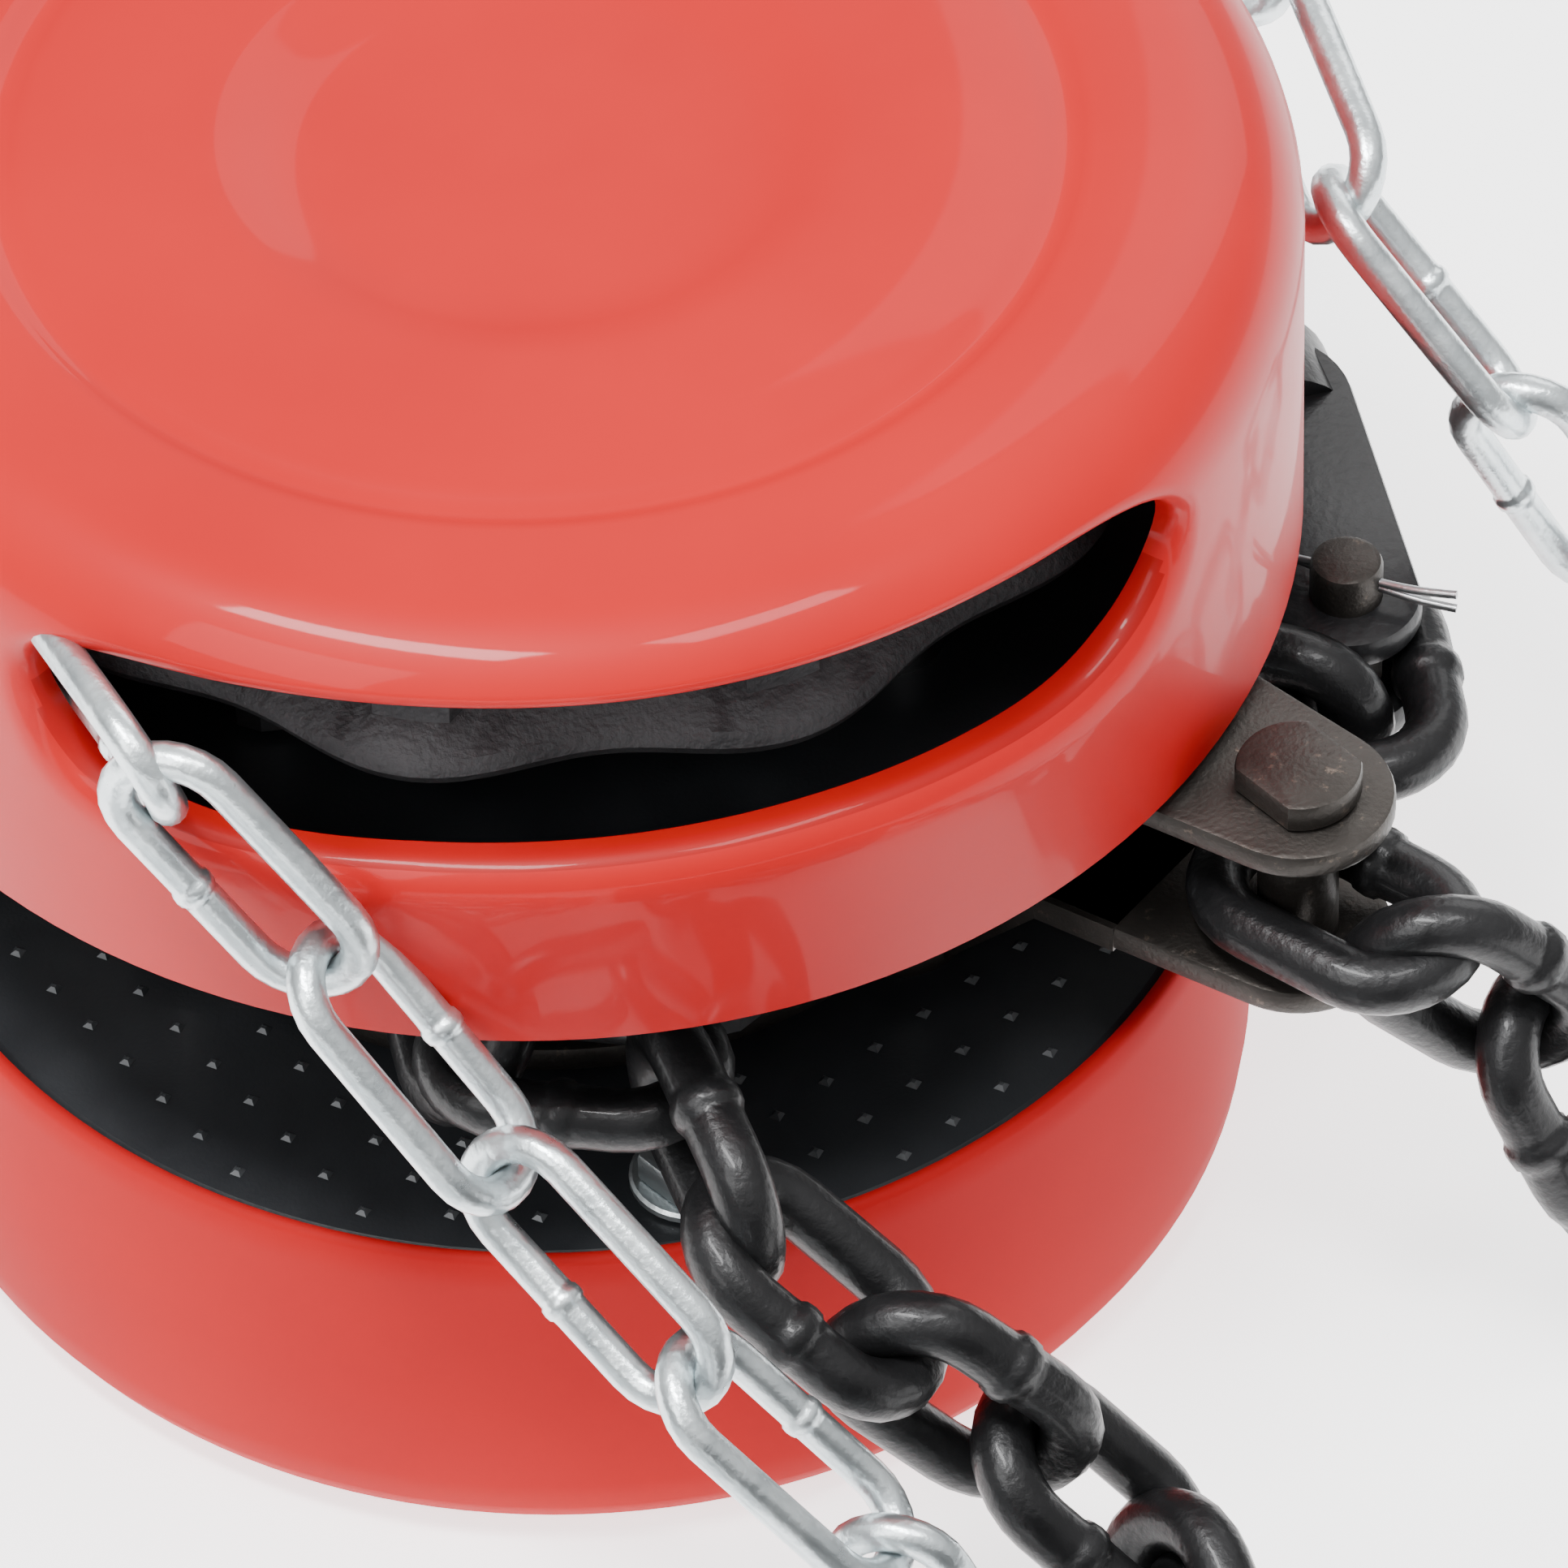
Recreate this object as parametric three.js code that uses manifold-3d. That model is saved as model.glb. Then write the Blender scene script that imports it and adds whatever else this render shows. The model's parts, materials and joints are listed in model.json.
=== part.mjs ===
// A hand-operated chain hoist, 1 t, lying on the flat face of its gear cover.
// Millimetres, +Z up. The origin is on the main axis, in the gear cover's flat face. The load chain
// pulls towards +X, and the top hook is on the -X side.
import * as THREE from "three";
import { mergeVertices } from "three/addons/utils/BufferGeometryUtils.js";
import Module from "manifold-3d";

const wasm = await Module();
wasm.setup();

// ---- Driving dimensions ------------------------------------------------------------------------
const GAP = 0.3; // running gap between pieces that touch
const FLAT_SIDES = 22; // facets round a turned piece

// Casing
const WHEEL_COVER_RADIUS = 71;
const WHEEL_COVER_BOTTOM = 75;
const WHEEL_COVER_TOP = 121;
const WHEEL_COVER_FILLET = 11;
const GEAR_COVER_RADIUS = 66;
const GEAR_COVER_TOP = 39.8;
const COVER_WALL = 2;
const EMBOSS_RADIUS = 49.5; // the raised disc on the hand-wheel cover's face
const WINDOW_CENTRE = 83.5; // degrees from the load direction to the middle of each chain window
const WINDOW_HALF_SPAN = 46.5;
const WINDOW_BOTTOM = 99.5;
const WINDOW_TOP = 115.6;

// Round plates that close the two covers
const GEAR_PLATE_RADIUS = 63.5;
const GEAR_PLATE_Z = [35.6, 38.6];
const WHEEL_PLATE_RADIUS = 68.5;
const WHEEL_PLATE_Z = [76, 79];

// Frame plates, between which the load sheave turns
const GEAR_FRAME_Z = [40.2, 43.2];
const WHEEL_FRAME_Z = [70, 73];
const FRAME_RADIUS = 42;
const EAR_PLATE_Z = [52, 55]; // the gear-side frame's ear steps up to grip the end link
const ANCHOR = [68.6, -40.2]; // where the end of the load chain is pinned
const EAR_RADIUS = 9;
const EAR_BASE = [6, 9];
const EAR_BASE_RADIUS = 17;
const TOP_PIN = [-64, 0];
const TOP_LOBE_RADIUS = 12;
const STAY_RADIUS = 40;
const STAY_ANGLES = [-38, -150, 100];
const STUD_RADIUS = 56;
const STUD_ANGLES = [-78, 30, 150];
const WHEEL_STUD_RADIUS = 61;
const WHEEL_STUD_ANGLES = [60, 135, -105];

// Load sheave and chains
const CHAIN_LEVEL = 55.4; // height of the load chain's centre line at the sheave
const LOAD_WIRE = 6;
const LOAD_PITCH = 18;
const LOAD_WIDTH = 20;
const SHEAVE_RIM = 28;
const BOTTOM_PIN = [75, -4];

// Gear train: a pinion on the drive shaft, two disc gears, and the load gear on the sheave
const GEAR_MODULE = 1.65;
const PRESSURE_ANGLE = (25 * Math.PI) / 180;
const DRIVE_TEETH = 8;
const DISC_TEETH = 32;
const SMALL_TEETH = 9;
const LOAD_TEETH = 31;
const GEAR_CENTRES = 33;
const DISC_ANGLES = [72, 252];
const TOOTH_THINNING = 0.18; // taken off each flank, so that the teeth never bind
const ADDENDUM = 0.75;
const DEDENDUM = 1.05;
const ROOT_FLARE = 1.08; // how much wider a tooth is at its root than at its base circle
const DISC_GEAR_Z = [9, 17];
const SMALL_GEAR_Z = [17, 33.4];
const LOAD_GEAR_Z = [24.5, 33];
const SHAFT_RADIUS = 6;

// Load brake and hand wheel
const RATCHET_TIP = 27;
const RATCHET_TEETH = 18;
const RATCHET_Z = [87.6, 91.6];
const HAND_WHEEL_RADIUS = 58.5;
const HAND_WHEEL_LOBES = 10;
const PAWL_RADIUS = 40;
const PAWL_ANGLES = [50, 230];

// ---- Materials ---------------------------------------------------------------------------------
const RED = 0xd9554f;
const BLACK = 0x1d1d20;
const DARK_STEEL = 0x46423e;
const ZINC = 0xc8d2d4;
const STEEL = 0x8d9196;
const LINING = 0x6b5a48;

function finish(color, roughness, metalness) {
  return new THREE.MeshStandardMaterial({ color, roughness, metalness });
}

// ---- Solids ------------------------------------------------------------------------------------
const radians = (degrees) => (degrees * Math.PI) / 180;
const around = (radius, degrees) => [
  radius * Math.cos(radians(degrees)),
  radius * Math.sin(radians(degrees)),
];

// A closed three.js geometry as a solid, with its faces turned outwards.
function solid(geometry) {
  const bare = geometry.clone();
  bare.deleteAttribute("normal");
  bare.deleteAttribute("uv");
  const merged = mergeVertices(bare, 1e-4);
  const index = merged.index.array;
  const kept = [];
  for (let i = 0; i < index.length; i += 3) {
    const [a, b, c] = [index[i], index[i + 1], index[i + 2]];
    if (a !== b && b !== c && c !== a) kept.push(a, b, c);
  }
  const make = (triangles) =>
    new wasm.Manifold(
      new wasm.Mesh({
        numProp: 3,
        vertProperties: merged.attributes.position.array,
        triVerts: new Uint32Array(triangles),
      }),
    );
  const made = make(kept);
  if (made.volume() > 0) return made;
  const turned = [];
  for (let i = 0; i < kept.length; i += 3) turned.push(kept[i], kept[i + 2], kept[i + 1]);
  return make(turned);
}

// A solid's surface as a three.js geometry with flat faces.
function surface(made) {
  const mesh = made.getMesh();
  const indexed = new THREE.BufferGeometry()
    .setAttribute("position", new THREE.BufferAttribute(mesh.vertProperties, 3))
    .setIndex(new THREE.BufferAttribute(mesh.triVerts, 1));
  const flat = indexed.toNonIndexed();
  flat.computeVertexNormals();
  return flat;
}

const join = (...made) => made.reduce((a, b) => a.add(b));
const cut = (from, ...tools) => tools.reduce((a, b) => a.subtract(b), from);

// A cylinder along Z.
function rod(radius, z0, z1, at = [0, 0], sides = FLAT_SIDES) {
  return solid(
    new THREE.CylinderGeometry(radius, radius, z1 - z0, sides)
      .rotateX(Math.PI / 2)
      .translate(at[0], at[1], (z0 + z1) / 2),
  );
}

// A cylinder along X or Y, from one value of that coordinate to another.
function rodAlong(axis, radius, from, to, centre = [0, 0], sides = 12) {
  const geometry = new THREE.CylinderGeometry(radius, radius, to - from, sides);
  const middle = (from + to) / 2;
  if (axis === "x") {
    geometry.rotateZ(Math.PI / 2).translate(middle, centre[0], centre[1]);
  } else {
    geometry.translate(centre[0], middle, centre[1]);
  }
  return solid(geometry);
}

function box(low, high) {
  const size = high.map((value, i) => value - low[i]);
  const middle = high.map((value, i) => (value + low[i]) / 2);
  return solid(new THREE.BoxGeometry(...size).translate(...middle));
}

function ring(inner, outer, z0, z1, at = [0, 0], sides = FLAT_SIDES) {
  return turned(
    [
      [inner, z0],
      [outer, z0],
      [outer, z1],
      [inner, z1],
      [inner, z0],
    ],
    sides,
    at,
  );
}

// A profile of [radius, height] points turned about Z.
function turned(profile, sides = FLAT_SIDES, at = [0, 0]) {
  const points = profile.map(([radius, z]) => new THREE.Vector2(radius, z));
  return solid(
    new THREE.LatheGeometry(points, sides).rotateX(Math.PI / 2).translate(at[0], at[1], 0),
  );
}

// A flat outline of [x, y] points raised from z0 to z1.
function raised(outline, z0, z1) {
  const shape = new THREE.Shape(outline.map(([x, y]) => new THREE.Vector2(x, y)));
  const geometry = new THREE.ExtrudeGeometry(shape, {
    depth: z1 - z0,
    bevelEnabled: false,
    curveSegments: 1,
  });
  return solid(geometry.translate(0, 0, z0));
}

function arc(centre, radius, from, to, steps) {
  const points = [];
  for (let i = 0; i <= steps; i++) {
    const [x, y] = around(radius, from + ((to - from) * i) / steps);
    points.push([centre[0] + x, centre[1] + y]);
  }
  return points;
}

// The outline of two circles with the straight edges that touch both.
function bar(a, radiusA, b, radiusB, steps = 8) {
  const length = Math.hypot(b[0] - a[0], b[1] - a[1]);
  const heading = (Math.atan2(b[1] - a[1], b[0] - a[0]) * 180) / Math.PI;
  const lean = (Math.acos((radiusA - radiusB) / length) * 180) / Math.PI;
  return [
    ...arc(b, radiusB, heading - lean, heading + lean, steps),
    ...arc(a, radiusA, heading + lean, heading + 360 - lean, steps * 2),
  ];
}

// A round bar of even thickness along a smooth curve through the points.
function bent(points, radius, steps, sides = 8, closed = false) {
  const section = new THREE.Shape(
    arc([0, 0], radius, 0, 360 - 360 / sides, sides - 1).map(([x, y]) => new THREE.Vector2(x, y)),
  );
  const curve = new THREE.CatmullRomCurve3(
    points.map((p) => new THREE.Vector3(...p)),
    closed,
    "centripetal",
  );
  return solid(
    new THREE.ExtrudeGeometry(section, { steps, bevelEnabled: false, extrudePath: curve }),
  );
}

// ---- The assembly ------------------------------------------------------------------------------
const hoist = new THREE.Group();

function place(name, made, material, group = hoist) {
  const mesh = new THREE.Mesh(surface(made), material);
  mesh.name = name;
  group.add(mesh);
  return mesh;
}

const enamel = () => finish(RED, 0.3, 0.0);
const blackPaint = () => finish(BLACK, 0.5, 0.1);
const darkSteel = () => finish(DARK_STEEL, 0.45, 0.8);
const zinc = () => finish(ZINC, 0.3, 0.9);
const steel = () => finish(STEEL, 0.35, 0.9);

const discCentres = DISC_ANGLES.map((angle) => around(GEAR_CENTRES, angle));
const stayPlaces = STAY_ANGLES.map((angle) => around(STAY_RADIUS, angle));

// ---- Covers ------------------------------------------------------------------------------------
function gearCover() {
  const out = GEAR_COVER_RADIUS;
  const inside = out - COVER_WALL;
  const shell = turned(
    [
      [0, 0],
      [out - 8, 0],
      [out - 2.6, 2.2],
      [out, 8],
      [out, GEAR_COVER_TOP],
      [inside, GEAR_COVER_TOP],
      [inside, 9],
      [inside - 2.2, 4],
      [inside - 7, COVER_WALL],
      [0, COVER_WALL],
    ],
    32,
  );
  const studs = STUD_ANGLES.map((angle) => rod(3, 1, 43.9, around(STUD_RADIUS, angle), 10));
  const bosses = [
    ring(4.8, 7.5, 1, 8.2, [0, 0], 12),
    ...discCentres.map((at) => ring(4, 6.5, 1, 8.6, at, 12)),
  ];
  return join(shell, ...studs, ...bosses);
}
place("gear_cover", gearCover(), enamel());

// A block that follows the cover's wall between two heights, to cut one chain window.
function windowCutter(side) {
  const from = WINDOW_CENTRE - WINDOW_HALF_SPAN;
  const to = WINDOW_CENTRE + WINDOW_HALF_SPAN;
  const inner = WHEEL_COVER_RADIUS - 14;
  const outer = WHEEL_COVER_RADIUS + 6;
  const band = (a, b) => [...arc([0, 0], outer, a, b, 10), ...arc([0, 0], inner, b, a, 10)];
  const taper = 3.5; // degrees taken off each end of the window's top and bottom, to round it
  const layers = [
    [from + taper, to - taper, WINDOW_BOTTOM, WINDOW_TOP],
    [from, to, WINDOW_BOTTOM + 4.5, WINDOW_TOP - 4.5],
  ];
  const made = join(...layers.map(([a, b, z0, z1]) => raised(band(a, b), z0, z1)));
  return side < 0 ? made.scale([1, -1, 1]) : made;
}

function wheelCover() {
  const out = WHEEL_COVER_RADIUS;
  const inside = out - COVER_WALL;
  const top = WHEEL_COVER_TOP;
  const bend = (radius, inset) =>
    [0, 30, 60, 90].map((degrees) => [
      out - WHEEL_COVER_FILLET + radius * Math.cos(radians(degrees)),
      top - WHEEL_COVER_FILLET + radius * Math.sin(radians(degrees)) - inset,
    ]);
  const shell = turned(
    [
      [0, top],
      [EMBOSS_RADIUS - 1.5, top],
      [EMBOSS_RADIUS, top - 0.8],
      ...bend(WHEEL_COVER_FILLET, 0).reverse(),
      [out, WHEEL_COVER_BOTTOM],
      [inside, WHEEL_COVER_BOTTOM],
      ...bend(WHEEL_COVER_FILLET - COVER_WALL, 0),
      [0, top - COVER_WALL],
    ],
    32,
  );
  const studs = WHEEL_STUD_ANGLES.map((angle) => {
    const at = around(WHEEL_STUD_RADIUS, angle);
    return rod(2.5, WHEEL_PLATE_Z[0] - 4, WHEEL_PLATE_Z[1] + 2.5, at, 10);
  });
  const brackets = WHEEL_STUD_ANGLES.map((angle) => {
    const [x, y] = around(WHEEL_STUD_RADIUS + 4.2, angle);
    return box([x - 4.4, y - 4.4, WHEEL_PLATE_Z[1] + 0.5], [x + 4.4, y + 4.4, WHEEL_PLATE_Z[1] + 2.5]);
  });
  const whole = rod(inside + 1, WHEEL_COVER_BOTTOM - 10, top - 1, [0, 0], 32);
  const tabs = join(...brackets).intersect(whole);
  return cut(join(shell, tabs, ...studs), windowCutter(1), windowCutter(-1));
}
place("hand_wheel_cover", wheelCover(), enamel());

// ---- Plates ------------------------------------------------------------------------------------
function hexagon(acrossFlats, hole, z0, z1, at) {
  const outside = rod(acrossFlats / 2 / Math.cos(Math.PI / 6), z0, z1, at, 6);
  return cut(outside, rod(hole, z0 - 1, z1 + 1, at, 12));
}

const bolts = (radius, z0, z1, places) => places.map((at) => rod(radius, z0, z1, at, 12));

function gearPlate() {
  const [z0, z1] = GEAR_PLATE_Z;
  const studPlaces = STUD_ANGLES.map((angle) => around(STUD_RADIUS, angle));
  return cut(
    rod(GEAR_PLATE_RADIUS, z0, z1, [0, 0], 32),
    rod(20.3, z0 - 1, z1 + 1),
    ...bolts(3.9, z0 - 1, z1 + 1, discCentres),
    ...bolts(3.4, z0 - 1, z1 + 1, studPlaces),
    ...bolts(3.9, z0 - 1, z1 + 1, stayPlaces),
  );
}
place("gear_plate", gearPlate(), blackPaint());

function wheelPlate() {
  const [z0, z1] = WHEEL_PLATE_Z;
  const studPlaces = WHEEL_STUD_ANGLES.map((angle) => around(WHEEL_STUD_RADIUS, angle));
  const pawlPlaces = PAWL_ANGLES.map((angle) => around(PAWL_RADIUS, angle));
  return cut(
    rod(WHEEL_PLATE_RADIUS, z0, z1, [0, 0], 32),
    rod(14, z0 - 1, z1 + 1),
    ...bolts(2.9, z0 - 1, z1 + 1, studPlaces),
    ...bolts(3.9, z0 - 1, z1 + 1, stayPlaces),
    ...bolts(3.4, z0 - 1, z1 + 1, pawlPlaces),
  );
}
place("wheel_plate", wheelPlate(), blackPaint());

const ROLLERS = [
  [22, 39.6],
  [14, -36.5],
];
const ROLLER_RADIUS = 5;

function framePlate(z0, z1, withEar) {
  const outlines = [
    arc([0, 0], FRAME_RADIUS, 0, 342, 19),
    arc([6, 14], 38, 0, 342, 19),
    bar([0, 0], 28, TOP_PIN, TOP_LOBE_RADIUS),
    ...stayPlaces.map((at) => arc(at, 7, 0, 324, 9)),
  ];
  if (withEar) outlines.push(bar(EAR_BASE, EAR_BASE_RADIUS, ANCHOR, EAR_RADIUS, 8));
  return join(...outlines.map((outline) => raised(outline, z0, z1)));
}

function frameHoles(z0, z1) {
  return [
    rod(4.8, z0 - 1, z1 + 1, TOP_PIN, 12),
    ...bolts(3.9, z0 - 1, z1 + 1, stayPlaces),
    ...bolts(2.4, z0 - 1, z1 + 1, ROLLERS),
    rod(4.3, z0 - 1, z1 + 1, ANCHOR, 12),
  ];
}

function wheelFrame() {
  const [z0, z1] = WHEEL_FRAME_Z;
  return cut(framePlate(z0, z1, true), rod(22.3, z0 - 1, z1 + 1), ...frameHoles(z0, z1));
}
place("wheel_side_frame", wheelFrame(), darkSteel());

// The gear-side frame's ear is bent up so that it grips the chain's end link.
function gearFrame() {
  const [z0, z1] = GEAR_FRAME_Z;
  const heading = Math.atan2(ANCHOR[1] - EAR_BASE[1], ANCHOR[0] - EAR_BASE[0]);
  const reach = Math.hypot(ANCHOR[0] - EAR_BASE[0], ANCHOR[1] - EAR_BASE[1]);
  const [e0, e1] = EAR_PLATE_Z;
  const stepAt = 47; // distance from the ear's base to the start of its step
  const stepEnd = 58;
  const blank = raised(bar(EAR_BASE, EAR_BASE_RADIUS, ANCHOR, EAR_RADIUS, 8), z0, e1);
  const sideView = new THREE.Shape(
    [
      [-20, z0],
      [stepAt, z0],
      [stepEnd, e0],
      [reach + 20, e0],
      [reach + 20, e1],
      [stepEnd - 1.2, e1],
      [stepAt - 1.2, z1],
      [-20, z1],
    ].map(([along, z]) => new THREE.Vector2(along, z)),
  );
  const slab = new THREE.ExtrudeGeometry(sideView, { depth: 60, bevelEnabled: false })
    .translate(0, 0, -30)
    .rotateX(Math.PI / 2)
    .rotateZ(heading)
    .translate(EAR_BASE[0], EAR_BASE[1], 0);
  const ear = blank.intersect(solid(slab));
  const plate = cut(framePlate(z0, z1, false), rod(20.3, z0 - 1, z1 + 1));
  return cut(
    join(plate, ear),
    rod(20.3, z0 - 1, z1 + 1),
    ...bolts(3.9, z0 - 1, z1 + 1, discCentres),
    ...frameHoles(z0, e1),
  );
}
place("gear_side_frame", gearFrame(), darkSteel());

// ---- Fasteners of the frame --------------------------------------------------------------------
stayPlaces.forEach((at, i) => {
  const spindle = 3.5;
  const shoulder = 4.8;
  const head = 5.4;
  const steps = [
    [head, 31, GEAR_PLATE_Z[0] - GAP],
    [spindle, GEAR_PLATE_Z[0] - GAP, GEAR_PLATE_Z[1] + GAP],
    [shoulder, GEAR_PLATE_Z[1] + GAP, GEAR_FRAME_Z[0] - GAP],
    [spindle, GEAR_FRAME_Z[0] - GAP, GEAR_FRAME_Z[1] + GAP],
    [shoulder, GEAR_FRAME_Z[1] + GAP, WHEEL_FRAME_Z[0] - GAP],
    [spindle, WHEEL_FRAME_Z[0] - GAP, WHEEL_FRAME_Z[1] + GAP],
    [shoulder, WHEEL_FRAME_Z[1] + GAP, WHEEL_PLATE_Z[0] - GAP],
    [spindle, WHEEL_PLATE_Z[0] - GAP, WHEEL_PLATE_Z[1] + GAP],
    [head, WHEEL_PLATE_Z[1] + GAP, 84],
  ];
  const profile = steps.flatMap(([radius, z0, z1]) => [
    [radius, z0],
    [radius, z1],
  ]);
  const bolt = turned([[0, 31], ...profile, [0, 84]], 10, at);
  place("stay_bolt_" + (i + 1), bolt, steel());
});

STUD_ANGLES.forEach((angle, i) => {
  const at = around(STUD_RADIUS, angle);
  const washer = ring(3.3, 5.6, 38.9, 39.9, at, 12);
  place("gear_cover_nut_" + (i + 1), join(washer, hexagon(9, 3.3, 39.8, 43.4, at)), zinc());
  const below = around(WHEEL_STUD_RADIUS, WHEEL_STUD_ANGLES[i]);
  place("wheel_cover_nut_" + (i + 1), hexagon(7, 2.8, 72.6, 75.7, below), zinc());
});

// ---- Chain anchor ------------------------------------------------------------------------------
function anchorPin() {
  const head = raised(
    bar([ANCHOR[0] - 1, ANCHOR[1] - 1], 5.4, [ANCHOR[0] + 1, ANCHOR[1] + 1], 5.4, 8),
    WHEEL_FRAME_Z[1] + GAP,
    75.8,
  );
  const shank = rod(3.8, EAR_PLATE_Z[0] - 2.6, 74, ANCHOR, 12);
  const collar = rod(4.9, EAR_PLATE_Z[0] - 3.1, EAR_PLATE_Z[0] - GAP, ANCHOR, 12);
  return join(head, shank, collar);
}
place("anchor_pin", anchorPin(), darkSteel());

// One welded link: a round bar bent into a long ring, centred on the origin, its length along X
// and its width along Y.
function link(pitch, wire, width, sides = 8) {
  const bend = (width - wire) / 2;
  const straight = (pitch + wire) / 2 - bend;
  const points = [];
  for (const [sign, start] of [
    [1, -90],
    [-1, 90],
  ]) {
    for (const degrees of [0, 60, 120, 180]) {
      const [x, y] = around(bend, start + degrees);
      points.push([sign * straight + x, y, 0]);
    }
  }
  return bent(points, wire / 2, 20, sides, true);
}

const loadLink = link(LOAD_PITCH, LOAD_WIRE, LOAD_WIDTH);

const anchorHeading = -38; // degrees: the way the end link leaves the anchor
const linkOffset = LOAD_PITCH / 2 - 4 - 2 * GAP; // from a pin in a link's end to the link's middle
const endLinkPlace = around(linkOffset, anchorHeading).map((value, i) => value + ANCHOR[i]);
const END_LINK_Z = 60;
const endLink = place("anchor_end_link", loadLink, blackPaint());
endLink.position.set(endLinkPlace[0], endLinkPlace[1], END_LINK_Z);
endLink.rotation.z = radians(anchorHeading);

// ---- Load sheave and its bearings --------------------------------------------------------------
const sheaveShaft = new THREE.Group();
hoist.add(sheaveShaft);

function loadSheave() {
  const low = CHAIN_LEVEL - 11;
  const high = CHAIN_LEVEL + 11;
  const body = turned(
    [
      [6.6, 21],
      [12, 21],
      [12, 22.4],
      [11, 22.4],
      [11, 24.2],
      [12, 24.2],
      [12, low],
      [SHEAVE_RIM, low],
      [23, CHAIN_LEVEL - 4],
      [16, CHAIN_LEVEL - 3],
      [16, CHAIN_LEVEL + 3],
      [23, CHAIN_LEVEL + 4],
      [SHEAVE_RIM, high],
      [14, high],
      [14, 73.4],
      [6.6, 73.4],
      [6.6, 21],
    ],
    FLAT_SIDES,
  );
  return body;
}
place("load_sheave", loadSheave(), darkSteel(), sheaveShaft);
place("bearing_gear_side", ring(12.3, 20, 35.8, 42.8), steel());
place("bearing_wheel_side", ring(14.3, 22, 67.3, 72.7), steel());
place("sheave_snap_ring", ring(11.3, 14.6, 22.6, 24, [0, 0], 20), steel(), sheaveShaft);

function stripper() {
  const block = box([32, -12, GEAR_FRAME_Z[1] + GAP], [39.5, -0.5, WHEEL_FRAME_Z[0] - GAP]);
  const nose = raised(
    [
      [17.5, -6],
      [17.5, -2],
      [34, -1],
      [34, -11],
    ],
    CHAIN_LEVEL - 2.8,
    CHAIN_LEVEL + 2.8,
  );
  return join(block, nose);
}
place("chain_stripper", stripper(), darkSteel());

ROLLERS.forEach((at, i) => {
  const low = GEAR_FRAME_Z[1] + 0.6;
  const high = WHEEL_FRAME_Z[0] - 0.6;
  const trunnions = rod(2, GEAR_FRAME_Z[0] + GAP, WHEEL_FRAME_Z[1] + 1, at, 10);
  place("guide_roller_" + (i + 1), join(rod(ROLLER_RADIUS, low, high, at, 12), trunnions), steel());
});

// ---- Gears -------------------------------------------------------------------------------------
// The outline of a spur gear with straight flanks set out from the involute. The first tooth points along "heading" degrees.
function gearOutline(teeth, heading) {
  const pitch = (GEAR_MODULE * teeth) / 2;
  const base = pitch * Math.cos(PRESSURE_ANGLE);
  const tip = pitch + ADDENDUM * GEAR_MODULE;
  const root = pitch - DEDENDUM * GEAR_MODULE;
  const involute = (radius) => {
    const angle = Math.acos(Math.min(1, base / Math.max(radius, base)));
    return Math.tan(angle) - angle;
  };
  const halfTooth = Math.PI / (2 * teeth) - TOOTH_THINNING / pitch;
  const half = (radius) => halfTooth + involute(pitch) - involute(radius);
  const points = [];
  for (let i = 0; i < teeth; i++) {
    const middle = radians(heading) + (2 * Math.PI * i) / teeth;
    const at = (radius, angle) => points.push([radius * Math.cos(angle), radius * Math.sin(angle)]);
    at(root, middle - half(base) * ROOT_FLARE);
    at(tip, middle - half(tip));
    at(tip, middle + half(tip));
    at(root, middle + half(base) * ROOT_FLARE);
  }
  return points;
}

// Turning a gear so that it meshes with one whose tooth points along "heading" at its centre:
// the follower has a gap there, seen from its own centre.
function meshed(teeth, bearing) {
  return bearing + 180 + 180 / teeth;
}

const driveShaft = new THREE.Group();
hoist.add(driveShaft);

function driveShaftSolid() {
  const pinion = raised(gearOutline(DRIVE_TEETH, DISC_ANGLES[0]), 8.6, 17.4);
  const shaft = turned(
    [
      [0, 4.2],
      [4.4, 4.2],
      [4.4, 17.6],
      [SHAFT_RADIUS, 18.4],
      [SHAFT_RADIUS, 118],
      [0, 118],
    ],
    FLAT_SIDES,
  );
  return join(pinion, shaft);
}
place("drive_shaft", driveShaftSolid(), steel(), driveShaft);

// A tooth of the drive pinion points at the first disc gear, so that one has a gap there. The
// pinion has an even number of teeth, so the second disc gear meets a tooth as well.
DISC_ANGLES.forEach((bearing, i) => {
  const letter = "ab"[i];
  const group = new THREE.Group();
  const [x, y] = discCentres[i];
  group.position.set(x, y, 0);
  hoist.add(group);
  const wheel = raised(gearOutline(DISC_TEETH, meshed(DISC_TEETH, bearing)), ...DISC_GEAR_Z);
  const smallTurn = i * (180 / SMALL_TEETH);
  const pinion = raised(gearOutline(SMALL_TEETH, bearing + 180 + smallTurn), ...SMALL_GEAR_Z);
  const axle = rod(3.5, 4.2, 38.2, [0, 0], 12);
  place("disc_gear_" + letter, join(wheel, pinion, axle), steel(), group);
});

// Each small gear has a tooth towards the main axis, so the load gear needs a gap towards both of
// them. They are half a turn apart and the load gear has an odd number of teeth, so the second
// small gear is set half a tooth round from the first.
const loadGear = cut(
  raised(gearOutline(LOAD_TEETH, DISC_ANGLES[0] + 180 / LOAD_TEETH), ...LOAD_GEAR_Z),
  rod(12.3, 20, 40),
);
place("load_gear", loadGear, steel(), sheaveShaft);

// ---- Load brake --------------------------------------------------------------------------------
const hub = turned([
  [SHAFT_RADIUS + GAP, 80.2],
  [11, 80.2],
  [11, 81.6],
  [23, 81.6],
  [23, 85],
  [9, 85],
  [9, 93.9],
  [SHAFT_RADIUS + GAP, 93.9],
  [SHAFT_RADIUS + GAP, 80.2],
]);
place("brake_hub", hub, steel(), driveShaft);
place("friction_disc_1", ring(12, 21, 85.3, 87.3), finish(LINING, 0.9, 0), driveShaft);
place("friction_disc_2", ring(12, 21, 91.9, 93.9), finish(LINING, 0.9, 0), driveShaft);

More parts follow.
